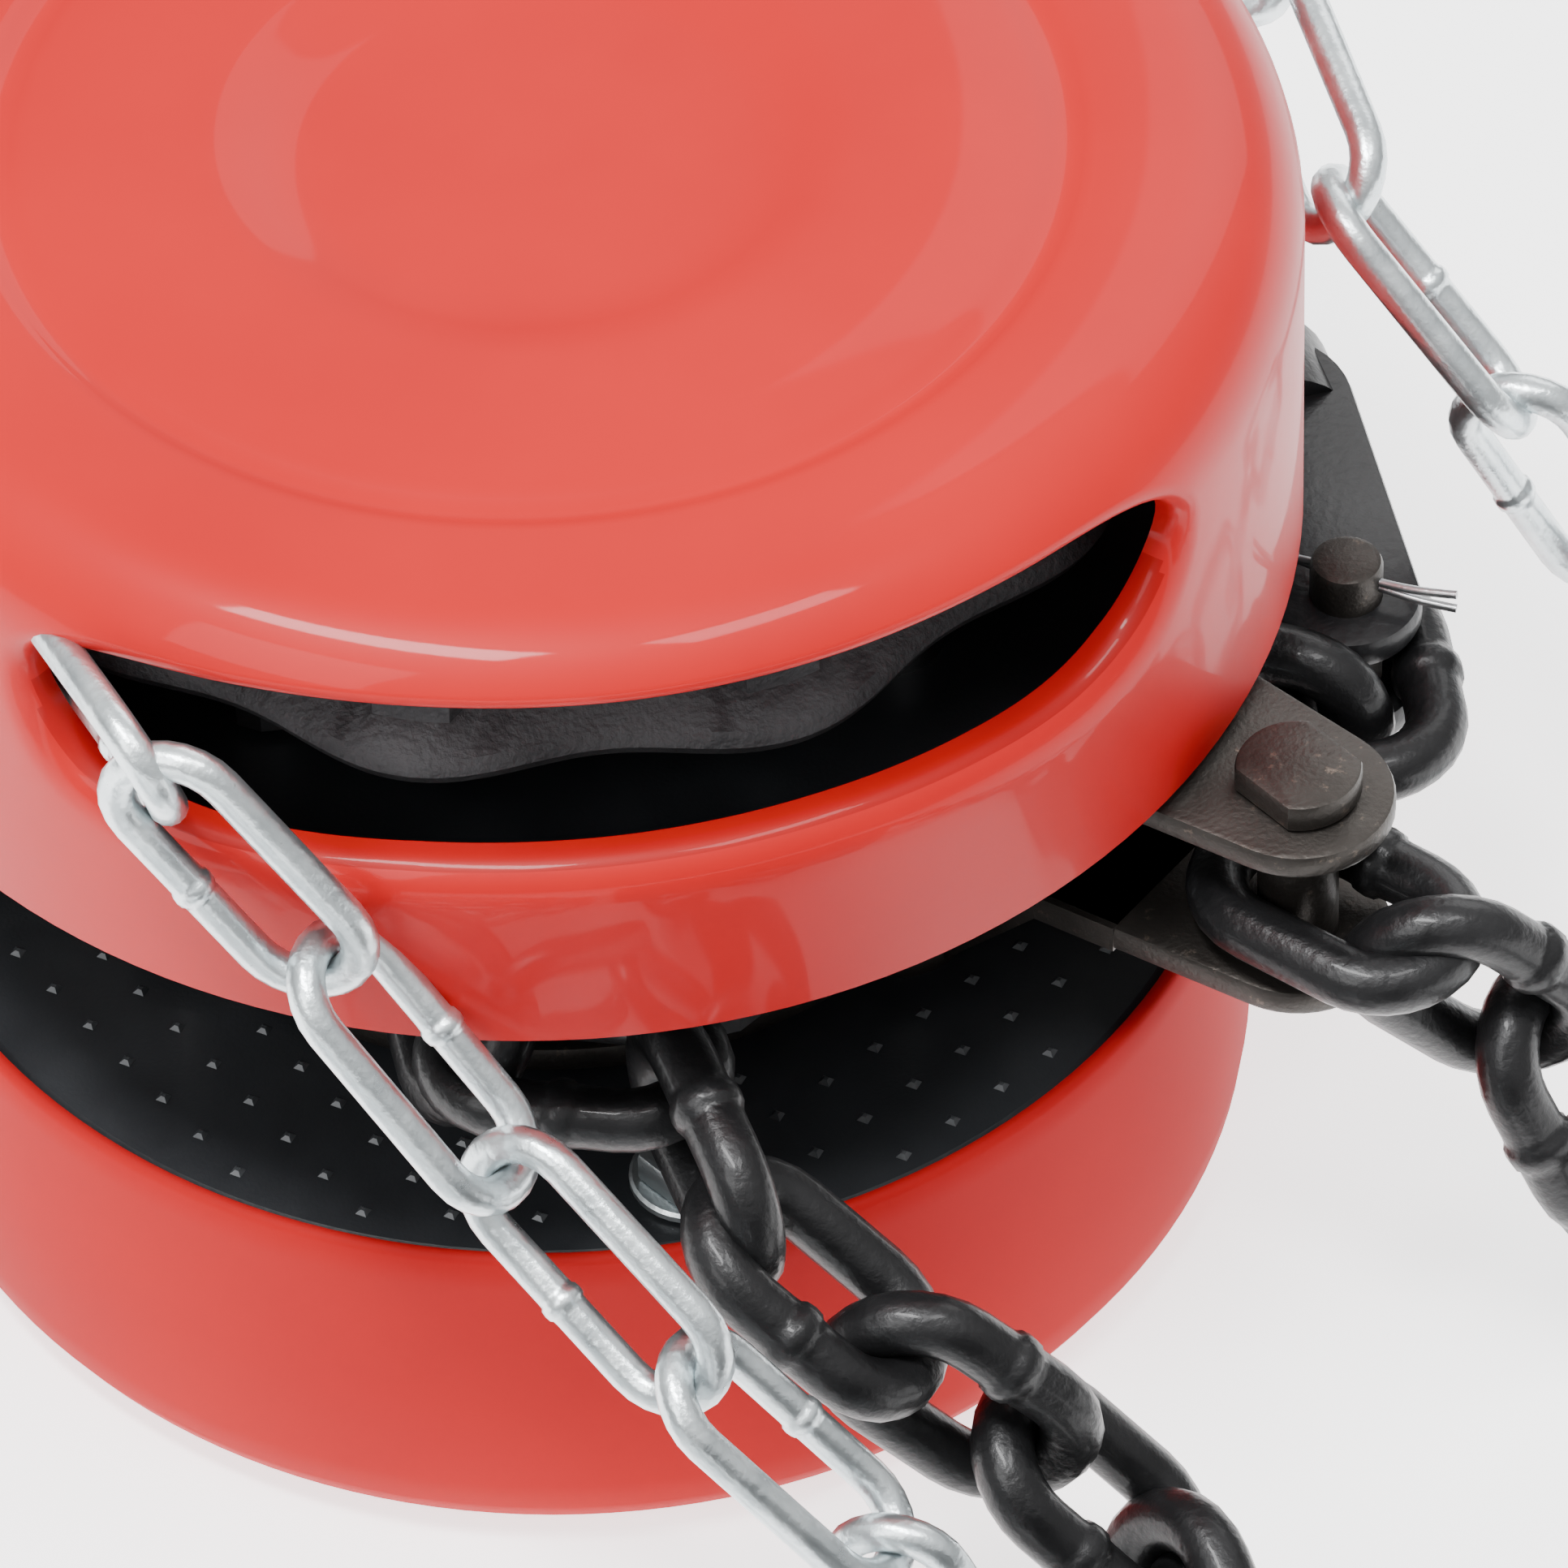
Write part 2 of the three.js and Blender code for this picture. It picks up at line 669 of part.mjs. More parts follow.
function ratchet() {
  const points = [];
  for (let i = 0; i < RATCHET_TEETH; i++) {
    const start = (360 * i) / RATCHET_TEETH;
    points.push(around(RATCHET_TIP - 4, start));
    points.push(around(RATCHET_TIP, start + 1));
    points.push(around(RATCHET_TIP - 1.6, start + 360 / RATCHET_TEETH / 2));
  }
  return cut(raised(points, ...RATCHET_Z), rod(9.4, RATCHET_Z[0] - 1, RATCHET_Z[1] + 1));
}
place("ratchet_disc", ratchet(), steel(), driveShaft);

// A pawl lies beside the ratchet with its nose just clear of the teeth.
function pawl() {
  const nose = [-11.6, 5.5];
  const body = raised(
    [...arc([0, 0], 5.2, -120, 100, 9), [-8, 6.4], nose, [-10.2, 2.2], [-5, -1.5]],
    RATCHET_Z[0] + GAP,
    RATCHET_Z[1] - GAP,
  );
  return cut(body, rod(3.3, RATCHET_Z[0] - 1, RATCHET_Z[1] + 1, [0, 0], 12));
}

PAWL_ANGLES.forEach((angle, i) => {
  const at = around(PAWL_RADIUS, angle);
  const group = new THREE.Group();
  group.position.set(at[0], at[1], 0);
  group.rotation.z = radians(angle);
  hoist.add(group);
  place("pawl_" + (i + 1), pawl(), steel(), group);
  const pin = join(rod(3, WHEEL_PLATE_Z[0] + 0.5, 93, [0, 0], 12), rod(4.4, 92.2, 93.4, [0, 0], 12));
  place("pawl_pin_" + (i + 1), pin, steel(), group);
  place("pawl_spring_" + (i + 1), ring(3.4, 4.8, 80, 86.6, [0, 0], 12), steel(), group);
});

// ---- Hand wheel --------------------------------------------------------------------------------
const handWheelGroup = new THREE.Group();
driveShaft.add(handWheelGroup);

function scalloped(radius, depth, z0, z1) {
  const points = [];
  const steps = HAND_WHEEL_LOBES * 4;
  for (let i = 0; i < steps; i++) {
    const wave = Math.cos((2 * Math.PI * i * HAND_WHEEL_LOBES) / steps);
    points.push(around(radius - depth * (0.5 - wave / 2), (360 * i) / steps));
  }
  return raised(points, z0, z1);
}

function handWheel() {
  const lower = scalloped(HAND_WHEEL_RADIUS, 3, 97, 100.5);
  const upper = scalloped(HAND_WHEEL_RADIUS, 3, 110, 114);
  const core = turned(
    [
      [0, 94.2],
      [22, 94.2],
      [24, 97],
      [46, 97],
      [46, 114],
      [26, 114],
      [22, 112],
      [0, 112],
    ],
    FLAT_SIDES,
  );
  const recess = rod(23, 112, 120);
  return cut(join(lower, upper, core), recess, rod(SHAFT_RADIUS + GAP, 90, 120));
}
place("hand_wheel", handWheel(), blackPaint(), handWheelGroup);

function shaftNut() {
  const nut = hexagon(18, SHAFT_RADIUS + GAP, 112.4, 117.4, [0, 0]);
  return cut(nut, box([-12, -1.2, 115], [12, 1.2, 118]));
}
place("shaft_nut", shaftNut(), zinc(), driveShaft);

// ---- Hooks -------------------------------------------------------------------------------------
// Each hook is made with its shank along +X and its mouth upwards, in the plane y = 0.
const HOOK_BAR = 6.2; // radius of the hook's bar
const HOOK_SHANK = 5;
const LATCH_PIVOT = [50, 9.5];

function hookSolid() {
  const bow = bent(
    [
      [30, 0, 0],
      [42, 0, 0],
      [51, 0, -5],
      [59, 0, -15],
      [72, 0, -21],
      [86, 0, -17],
      [94, 0, -3],
      [90, 0, 12],
      [78, 0, 20],
      [66, 0, 21.5],
    ],
    HOOK_BAR,
    18,
    8,
  );
  const shank = rodAlong("x", HOOK_SHANK, 8, 34);
  const lug = raised(bar([44, 3], 5, LATCH_PIVOT, 3.6, 4), -2.6, 2.6).rotate([90, 0, 0]);
  const bore = rodAlong("y", 1.9, -6, 6, LATCH_PIVOT, 10);
  return cut(join(bow, shank, lug), bore);
}

// The latch is a folded strip with an ear each side of the hook's lug, on a rivet of its own.
function latchSolid() {
  const [x, z] = LATCH_PIVOT;
  const strip = raised(
    [
      [x + 4.2, -5],
      [x + 19, -3.2],
      [x + 19, 3.2],
      [x + 4.2, 5],
    ],
    z - 0.8,
    z + 0.8,
  );
  const ear = (y) =>
    raised(bar([x, z], 3.4, [x + 5.5, z], 2.2, 4), -0.7, 0.7)
      .rotate([90, 0, 0])
      .translate([0, y, 0]);
  return join(strip, ear(3.7), ear(-3.7), rodAlong("y", 1.6, -5.2, 5.2, LATCH_PIVOT, 10));
}

// "reach" is how much further out than the top hook this one sits.
function hookSet(prefix, frame, reach) {
  const made = new THREE.Group();
  made.position.x = reach;
  frame.add(made);
  place(prefix + "_hook", hookSolid(), blackPaint(), made);
  place(prefix + "_hook_nut", nutAlong(), steel(), made);
  place(prefix + "_latch", latchSolid(), zinc(), made);
}

function nutAlong() {
  return cut(
    rodAlong("x", 7.2, 11.2, 16.2, [0, 0], 6),
    rodAlong("x", HOOK_SHANK + GAP, 9, 18, [0, 0]),
  );
}

// The block on the top pin. The hook's shank turns in its outer end.
function topYoke() {
  const barrel = rod(11, -11.8, 14.2, [0, 0], 20);
  const neck = box([0, -9.5, -9.5], [26, 9.5, 9.5]);
  return cut(
    join(barrel, neck),
    rod(4.8, -20, 20, [0, 0], 12),
    rodAlong("x", HOOK_SHANK + GAP, 7.4, 30, [0, 0]),
    box([10.8, -12, -7.6], [16.6, 12, 7.6]),
  );
}

const topFrame = new THREE.Group();
topFrame.position.set(TOP_PIN[0], TOP_PIN[1], CHAIN_LEVEL);
topFrame.rotation.z = Math.PI;
hoist.add(topFrame);
place("top_yoke", topYoke(), blackPaint(), topFrame);
hookSet("top", topFrame, 0);
const topPin = join(
  rod(4.5, GEAR_FRAME_Z[0], 74, TOP_PIN, 12),
  rod(6.5, WHEEL_FRAME_Z[1] + GAP, 74.7, TOP_PIN, 12),
);
place("top_hook_pin", topPin, steel());

// The lower hook's fork closes round the last link of the chain.
const FORK_GAP = 3.6; // half the gap between its cheeks
const FORK_CHEEK = 3.4;
const FORK_REACH = 10;

function fork() {
  const outside = FORK_GAP + FORK_CHEEK;
  const cheeks = raised(bar([0, 0], 6.8, [28, 0], 9.5, 8), -outside, outside);
  const collar = rodAlong("x", 10.2, 19.4, 37.5, [0, 0], 16);
  return cut(
    join(cheeks, collar),
    box([-16, -12, -FORK_GAP], [18.6, 12, FORK_GAP]),
    rod(3.8, -20, 20, [0, 0], 12),
    rodAlong("x", HOOK_SHANK + GAP, 17.4, 42, [0, 0]),
    box([20.8, -12, -7.6], [26.6, 12, 7.6]),
  );
}

const REST_FOLD = 105; // degrees: the way the lower hook points from its pin
const bottomFrame = new THREE.Group();
bottomFrame.position.set(BOTTOM_PIN[0], BOTTOM_PIN[1], CHAIN_LEVEL);
bottomFrame.rotation.z = radians(REST_FOLD);
hoist.add(bottomFrame);
place("bottom_yoke", fork(), blackPaint(), bottomFrame);
hookSet("bottom", bottomFrame, FORK_REACH);

const forkTop = FORK_GAP + FORK_CHEEK;
const COTTER_Z = forkTop + 2.4;
const COTTER_TURN = -42; // degrees: the way the cotter points, from straight across the fork
const chainPin = cut(
  join(
    rod(3.5, -forkTop - GAP - 0.5, forkTop + 4.5, [0, 0], 12),
    rod(5, -forkTop - 2.6, -forkTop - GAP, [0, 0], 12),
  ),
  rodAlong("y", 1.1, -8, 8, [0, COTTER_Z], 8).rotate([0, 0, COTTER_TURN]),
);
place("bottom_chain_pin", chainPin, darkSteel(), bottomFrame);
const cotter = join(
  rodAlong("y", 0.8, -12.5, 6, [0, COTTER_Z], 8),
  rod(2, -0.8, 0.8, [0, 0], 10).translate([0, 6, COTTER_Z]),
).rotate([0, 0, COTTER_TURN]);
place("bottom_cotter", cotter, steel(), bottomFrame);

// ---- Live strand of the load chain: the links between the lower hook and the sheave -------------
// A level link and an upright one turn on each other at the middle of the upright one's end bar.
const LIVE_HEADINGS = [276, 161, 112]; // degrees: the way each link points, from the pin inwards
const LINK_SLACK = 0.4;
const uprightReach = (LOAD_PITCH + LOAD_WIRE) / 2; // from an upright link's middle to its end bar
const levelReach = uprightReach - LOAD_WIRE - LINK_SLACK;
let livePlace = around(LOAD_PITCH / 2 - 3.5 - GAP - levelReach, LIVE_HEADINGS[0]);
LIVE_HEADINGS.forEach((heading, i) => {
  const [inX, inY] = around(i % 2 ? uprightReach : levelReach, heading);
  const [x, y] = [livePlace[0] + inX, livePlace[1] + inY];
  const mesh = place("live_link_" + (i + 1), loadLink, blackPaint());
  mesh.position.set(BOTTOM_PIN[0] + x, BOTTOM_PIN[1] + y, CHAIN_LEVEL);
  mesh.rotation.set(i % 2 ? Math.PI / 2 : 0, 0, radians(heading), "ZYX");
  livePlace = [x + inX, y + inY];
});

// ---- Free chains: plain tubes along their routes, and a ring for each coil ------------------------
const HAND_TUBE = 14.8;
const LOAD_TUBE = 18;
const HAND_COIL = { centre: [-72, -216], inner: 60, outer: 90, height: 60 };
const LOAD_COIL = { centre: [89, -216], inner: 30, outer: 70, height: 80 };

const beside = (coil, radius, degrees, z) => {
  const [x, y] = around(radius, degrees);
  return [coil.centre[0] + x, coil.centre[1] + y, z];
};

const handOut = [
  [-39.4, -59.5, 107],
  [-34.9, -67.2, 106.5],
  [-28, -73.4, 100.5],
  [-20.3, -77.8, 91.5],
  [-12.8, -80.4, 81],
  [-5.2, -83, 70],
  [3, -87, 61],
  [11.2, -91, 51.4],
  [19.6, -94, 42],
  [28, -96.6, 32],
  [36, -98.6, 20.5],
  [36.5, -102.5, 11.5],
  [27, -107, 8],
  [12, -113, 8],
  [-6, -118, 8],
  [-28, -121.5, 8],
  beside(HAND_COIL, 98.2, 75, 8),
];
const handBack = [
  beside(HAND_COIL, 98.4, 300, 50),
  [-8, -299.5, 40],
  [10, -298.5, 23],
  [30, -296.5, 10.5],
  [60, -296, 8],
  beside(LOAD_COIL, 79.5, 275, 8),
  beside(LOAD_COIL, 79, 295, 8),
  beside(LOAD_COIL, 79, 315, 8),
  beside(LOAD_COIL, 79, 335, 8),
  beside(LOAD_COIL, 79, 355, 8),
  [168, -190, 8],
  [168.5, -165, 8],
  [168, -140, 8],
  [166, -115, 8],
  [160, -92, 8],
  [153, -72, 8],
  [147, -52, 8],
  [141, -34, 8],
  [134, -16, 9],
  [126, -4, 14],
  [114, 7, 29],
  [104, 11.5, 48],
  [97, 14, 59.5],
  [90.4, 16.6, 69.5],
  [83, 20.4, 79],
  [75.6, 26.5, 87.5],
  [69, 38.5, 97],
  [58, 53, 103.5],
  [47, 59.5, 106.6],
  [38.8, 60, 107.4],
];
const loadOut = [
  [-4, -47, 53.5],
  [0.4, -52, 53],
  [5.5, -57.5, 52.4],
  [11.6, -66, 52.1],
  [16.2, -75, 50.6],
  [22, -77.4, 45.4],
  [28.5, -78.2, 38],
  [35, -78.8, 32],
  [41.4, -79.8, 26],
  [48, -80.8, 19],
  [54.5, -84, 12.5],
  [59, -92, 10.2],
  [58, -103, 10],
  [54, -120, 10],
  [45, -139, 10],
  beside(LOAD_COIL, 80, 138, 10),
];
const loadBack = [
  beside(LOAD_COIL, 80, 32, 60),
  [155, -158, 46],
  [151, -142, 30],
  [148, -124, 16],
  [143, -106, 10],
  [135, -88, 10],
  [125, -72, 11],
  [114, -58, 15],
  [104, -48.5, 23],
  [98, -47.4, 33],
  [91.5, -47.4, 45.5],
  [86.6, -49.6, 54.5],
];

place("hand_chain_strand_1", bent(handOut, HAND_TUBE / 2, 30), zinc());
place("hand_chain_strand_2", bent(handBack, HAND_TUBE / 2, 34), zinc());
place("load_chain_slack_1", bent(loadOut, LOAD_TUBE / 2, 18), blackPaint());
place("load_chain_slack_2", bent(loadBack, LOAD_TUBE / 2, 16), blackPaint());
for (const [name, coil, material] of [
  ["hand_chain_coil", HAND_COIL, zinc()],
  ["load_chain_coil", LOAD_COIL, blackPaint()],
]) {
  place(name, ring(coil.inner, coil.outer, 0, coil.height, coil.centre, 28), material);
}

export default hoist;
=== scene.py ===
import json
import math
import random

import bpy
import bmesh
from mathutils import Matrix, Vector
from mathutils.geometry import delaunay_2d_cdt


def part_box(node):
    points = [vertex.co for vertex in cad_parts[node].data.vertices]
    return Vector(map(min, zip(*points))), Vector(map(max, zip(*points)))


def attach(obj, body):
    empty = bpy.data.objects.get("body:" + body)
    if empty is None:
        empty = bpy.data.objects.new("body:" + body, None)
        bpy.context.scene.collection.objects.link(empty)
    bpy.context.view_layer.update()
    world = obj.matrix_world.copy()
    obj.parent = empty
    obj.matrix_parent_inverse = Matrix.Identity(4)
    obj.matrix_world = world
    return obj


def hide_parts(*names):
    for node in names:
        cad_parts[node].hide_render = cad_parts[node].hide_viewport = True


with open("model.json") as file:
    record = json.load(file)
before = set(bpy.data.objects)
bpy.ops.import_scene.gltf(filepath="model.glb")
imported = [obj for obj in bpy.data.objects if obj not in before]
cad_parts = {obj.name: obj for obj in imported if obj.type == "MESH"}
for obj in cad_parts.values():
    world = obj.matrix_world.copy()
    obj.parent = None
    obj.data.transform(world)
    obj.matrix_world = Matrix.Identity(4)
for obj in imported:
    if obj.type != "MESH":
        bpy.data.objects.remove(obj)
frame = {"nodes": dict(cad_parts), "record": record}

MM = 0.001
random.seed(7)
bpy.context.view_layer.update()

# ---- Camera --------------------------------------------------------------------------------------
ELEVATION = math.radians(45.33)
ROLL = math.radians(-1.9)
CAMERA_PLACE = (0.02129, -0.8959, 0.9414)
SENSOR_WIDTH, LENS = 36, 304.2
BACK = Vector((0, -math.cos(ELEVATION), math.sin(ELEVATION)))  # from the hoist to the camera
LEVEL_UP = Vector((0, math.sin(ELEVATION), math.cos(ELEVATION)))
RIGHT = math.cos(ROLL) * Vector((1, 0, 0)) + math.sin(ROLL) * LEVEL_UP
UP = -math.sin(ROLL) * Vector((1, 0, 0)) + math.cos(ROLL) * LEVEL_UP
camera = bpy.data.objects.new("camera", bpy.data.cameras.new("camera"))
bpy.context.scene.collection.objects.link(camera)
camera.data.sensor_width = SENSOR_WIDTH
camera.data.lens = LENS
camera.data.clip_start = 0.05
camera.data.clip_end = 20
camera.matrix_world = Matrix((
    (RIGHT.x, UP.x, BACK.x, CAMERA_PLACE[0]),
    (RIGHT.y, UP.y, BACK.y, CAMERA_PLACE[1]),
    (RIGHT.z, UP.z, BACK.z, CAMERA_PLACE[2]),
    (0, 0, 0, 1),
))
bpy.context.scene.camera = camera


# ---- Meshes, written in millimetres in the part's frame ------------------------------------------
def add_piece(name, points, faces, body="housing", smooth=True, crease=None):
    mesh = bpy.data.meshes.new(name)
    mesh.from_pydata([tuple(c * MM for c in p) for p in points], [], faces)
    made = bmesh.new()
    made.from_mesh(mesh)
    bmesh.ops.remove_doubles(made, verts=made.verts, dist=1e-6)
    bmesh.ops.recalc_face_normals(made, faces=made.faces)
    made.to_mesh(mesh)
    made.free()
    mesh.polygons.foreach_set("use_smooth", [smooth] * len(mesh.polygons))
    if crease is not None:
        mesh.set_sharp_from_angle(angle=math.radians(crease))
    piece = bpy.data.objects.new(name, mesh)
    bpy.context.scene.collection.objects.link(piece)
    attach(piece, body)
    return piece


class Build:
    """Points and faces of one piece, gathered from several shapes."""

    def __init__(self):
        self.points = []
        self.faces = []

    def add(self, points, faces, move=None):
        base = len(self.points)
        if move is not None:
            points = [move @ Vector(p) for p in points]
        self.points += [tuple(p) for p in points]
        self.faces += [tuple(base + i for i in face) for face in faces]
        return self

    def piece(self, name, body="housing", smooth=True, crease=35):
        return add_piece(name, self.points, self.faces, body, smooth, crease)


def rings(rows, close_rows=False, cap=True):
    """Faces between rows of equal length, each row a closed ring of points."""
    count = len(rows[0])
    points = [p for row in rows for p in row]
    faces = []
    for i in range(len(rows) if close_rows else len(rows) - 1):
        a, b = i * count, ((i + 1) % len(rows)) * count
        for j in range(count):
            k = (j + 1) % count
            faces.append((a + j, a + k, b + k, b + j))
    if cap and not close_rows:
        faces.append(tuple(range(count - 1, -1, -1)))
        last = (len(rows) - 1) * count
        faces.append(tuple(range(last, last + count)))
    return points, faces


PINHOLE = 0.02  # mm, so that the faces at the axis aren't empty


def turned(profile, sides=96, at=(0, 0), closed=False):
    """A profile of (radius, z) turned about a vertical axis. A radius of zero is a pinhole."""
    rows = []
    for radius, z in profile:
        radius = max(radius, PINHOLE)
        rows.append([
            (at[0] + radius * math.cos(2 * math.pi * j / sides),
             at[1] + radius * math.sin(2 * math.pi * j / sides), z)
            for j in range(sides)
        ])
    return rings(rows, closed, cap=not closed)


SOFT = 0.3  # how far in a rounded edge's middle point stands, as a share of the edge


def rounded(radius, z0, z1, edge=0.5):
    """Profile of a rod whose two rims are rounded off."""
    soft = edge * SOFT
    return [
        (0, z0), (radius - edge, z0), (radius - soft, z0 + soft), (radius, z0 + edge),
        (radius, z1 - edge), (radius - soft, z1 - soft), (radius - edge, z1), (0, z1),
    ]


def ring_profile(inner, outer, z0, z1, edge=0.4):
    """Profile of a flat ring with chamfered rims."""
    return [
        (inner, z0 + edge), (inner + edge, z0), (outer - edge, z0), (outer, z0 + edge),
        (outer, z1 - edge), (outer - edge, z1), (inner + edge, z1), (inner, z1 - edge),
    ]


def inset(outline, amount):
    """An outline moved inwards along its own normals. It runs anticlockwise."""
    count = len(outline)
    moved = []
    for i in range(count):
        a, b = Vector(outline[i - 1]), Vector(outline[(i + 1) % count])
        along = (b - a).normalized()
        moved.append((outline[i][0] - along.y * amount, outline[i][1] + along.x * amount))
    return moved


def slab(outline, z0, z1, edge=0.5):
    """A flat plate with softened rims."""
    soft = inset(outline, edge * SOFT)
    small = inset(outline, edge)
    levels = [
        (small, z0), (soft, z0 + edge * SOFT), (outline, z0 + edge),
        (outline, z1 - edge), (soft, z1 - edge * SOFT), (small, z1),
    ]
    return rings([[(x, y, z) for x, y in line] for line, z in levels])


def on_circle(radius, degrees, centre=(0, 0)):
    return (centre[0] + radius * math.cos(math.radians(degrees)),
            centre[1] + radius * math.sin(math.radians(degrees)))


def arc(centre, radius, start, end, steps):
    return [
        on_circle(radius, start + (end - start) * i / steps, centre) for i in range(steps + 1)
    ]


def bar(a, radius_a, b, radius_b, steps=20):
    """Outline of two circles and the straight edges that touch both."""
    length = math.dist(a, b)
    heading = math.degrees(math.atan2(b[1] - a[1], b[0] - a[0]))
    lean = math.degrees(math.acos((radius_a - radius_b) / length))
    return (
        arc(b, radius_b, heading - lean, heading + lean, steps)
        + arc(a, radius_a, heading + lean, heading + 360 - lean, steps * 2)
    )


def smooth_line(points, spacing, closed=False):
    """Centripetal Catmull-Rom curve through the points, sampled evenly."""
    points = [Vector(p) for p in points]
    count = len(points)
    fine = []
    spans = count if closed else count - 1
    for i in range(spans):
        if closed:
            four = [points[(i + k) % count] for k in (-1, 0, 1, 2)]
        else:
            first = points[i - 1] if i else points[0] * 2 - points[1]
            last = points[i + 2] if i + 2 < count else points[-1] * 2 - points[-2]
            four = [first, points[i], points[i + 1], last]
        knots = [0.0]
        for a, b in zip(four, four[1:]):
            knots.append(knots[-1] + max(math.sqrt((b - a).length), 1e-4))
        steps = max(2, math.ceil((four[2] - four[1]).length / spacing * 2))
        for k in range(steps):
            t = knots[1] + (knots[2] - knots[1]) * k / steps
            level = four
            for depth in (1, 2, 3):
                level = [
                    level[j] * ((knots[j + depth] - t) / (knots[j + depth] - knots[j]))
                    + level[j + 1] * ((t - knots[j]) / (knots[j + depth] - knots[j]))
                    for j in range(len(level) - 1)
                ]
            fine.append(level[0])
    fine.append(points[0] if closed else points[-1])
    return fine


def tube(points, radius, sides=14, closed=False):
    """A round bar along a line of points."""
    points = [Vector(p) for p in points]
    radii = radius if isinstance(radius, list) else [radius] * len(points)
    rows = []
    side = None
    for i, p in enumerate(points):
        if closed:
            along = points[(i + 1) % len(points)] - points[i - 1]
        else:
            along = points[min(i + 1, len(points) - 1)] - points[max(i - 1, 0)]
        along.normalize()
        if side is None:
            side = along.orthogonal()
        side = (side - along * side.dot(along)).normalized()
        other = along.cross(side)
        rows.append([
            p + (side * math.cos(2 * math.pi * j / sides) + other * math.sin(2 * math.pi * j / sides))
            * radii[i]
            for j in range(sides)
        ])
    return rings(rows, closed)


# ---- Chain links ---------------------------------------------------------------------------------
# The swelling of the weld: places along the link and thickness, both in wire diameters.
WELD = [
    (0.36, 1.0), (0.22, 1.02), (0.16, 1.13), (0.0, 1.17), (-0.16, 1.13), (-0.22, 1.02),
    (-0.36, 1.0),
]


def link_shape(pitch, wire, width, sides, turns, weld):
    """One link in the XY plane, its length along X, as points and faces."""
    bend = (width - wire) / 2
    straight = (pitch + wire) / 2 - bend
    stations = []
    for sign in (1, -1):
        for i in range(turns + 1):
            angle = -math.pi / 2 + math.pi * i / turns
            x = straight + bend * math.cos(angle)
            stations.append((sign * x, sign * bend * math.sin(angle), 1.0))
        if sign == 1 and weld:
            stations += [(x * wire, bend, swell) for x, swell in WELD]
    rows = []
    count = len(stations)
    for i, (x, y, swell) in enumerate(stations):
        a, b = stations[i - 1], stations[(i + 1) % count]
        along = Vector((b[0] - a[0], b[1] - a[1], 0)).normalized()
        across = Vector((-along.y, along.x, 0))
        rows.append([
            Vector((x, y, 0)) + (across * math.cos(2 * math.pi * j / sides)
                                 + Vector((0, 0, 1)) * math.sin(2 * math.pi * j / sides))
            * (wire / 2 * swell)
            for j in range(sides)
        ])
    return rings(rows, close_rows=True)


def hung_between(a, b, facing, twist):
    """The placing of a link between two joints. At twist 0 its flat side is turned to "facing"."""
    along = (b - a).normalized()
    across = along.cross(facing).normalized()
    normal = along.cross(across)
    c, s = math.cos(math.radians(twist)), math.sin(math.radians(twist))
    wide = across * c + normal * s
    flat = along.cross(wide)
    middle = (a + b) / 2
    return Matrix((
        (along.x, wide.x, flat.x, middle.x),
        (along.y, wide.y, flat.y, middle.y),
        (along.z, wide.z, flat.z, middle.z),
        (0, 0, 0, 1),
    ))


def joints_along(line, pitch):
    """Points on the line that are one pitch apart in a straight line."""
    found = [line[0]]
    for a, b in zip(line, line[1:]):
        while (b - found[-1]).length >= pitch:
            low, high = 0.0, 1.0
            for _ in range(24):
                middle = (low + high) / 2
                if (a.lerp(b, middle) - found[-1]).length < pitch:
                    low = middle
                else:
                    high = middle
            found.append(a.lerp(b, high))
    return found


EASE = 0.03  # the most that a pitch may be eased by, as a share of it


def fitted_joints(line, pitch, links):
    """Joints from one end of the line to the other, the pitch eased so that they come out even."""
    low, high = pitch * (1 - EASE), pitch * (1 + EASE)
    for _ in range(40):
        middle = (low + high) / 2
        if len(joints_along(line, middle)) - 1 >= links:
            low = middle
        else:
            high = middle
    return joints_along(line, low)


# The camera sees nothing nearer to it than this y, nor further right than this x.
NEAR_EDGE, RIGHT_EDGE = -125, 135
TURNING_SPAN = 30  # mm over which the links turn from facing the camera to lying flat
UNEVEN = 4  # degrees by which a link's turn may stray


def chain(name, line, size, turned_by, special, odd):
    """A chain laid along a line, of an odd or even number of links.

    size is (pitch, wire, width). turned_by has the turns of alternate links, in degrees, and
    special the turn of any one link, counted from the start or, below zero, from the end.
    Links out of view are made of fewer faces.
    """
    pitch, wire, width = size
    near = link_shape(pitch, wire, width, 14, 12, True)
    far = link_shape(pitch, wire, width, 7, 6, False)
    links = len(joints_along(line, pitch)) - 1
    links += (links + odd) % 2
    found = fitted_joints(line, pitch, links)
    build = Build()
    for i, (a, b) in enumerate(zip(found, found[1:])):
        middle = (a + b) / 2
        seen = min(1.0, max(0.0, (middle.y - NEAR_EDGE) / TURNING_SPAN))
        facing = (BACK * seen + Vector((0, 0, 1)) * (1 - seen)).normalized()
        usual = turned_by[i % 2] + random.uniform(-UNEVEN, UNEVEN)
        turn = special.get(i, special.get(i - links, usual))
        shape = near if middle.y > NEAR_EDGE and middle.x < RIGHT_EDGE else far
        build.add(*shape, hung_between(a, b, facing, turn))
    return build.piece(name, crease=60), found


HAND_SIZE = (25.2, 3.6, 14.8)  # pitch, wire and width of a link
LOAD_SIZE = (18, 6, 20)
HAND_COIL = (-72, -216)
LOAD_COIL = (89, -216)


def beside(coil, radius, degrees, z):
    """A point at a radius from the middle of a coil."""
    return (*on_circle(radius, degrees, coil), z)


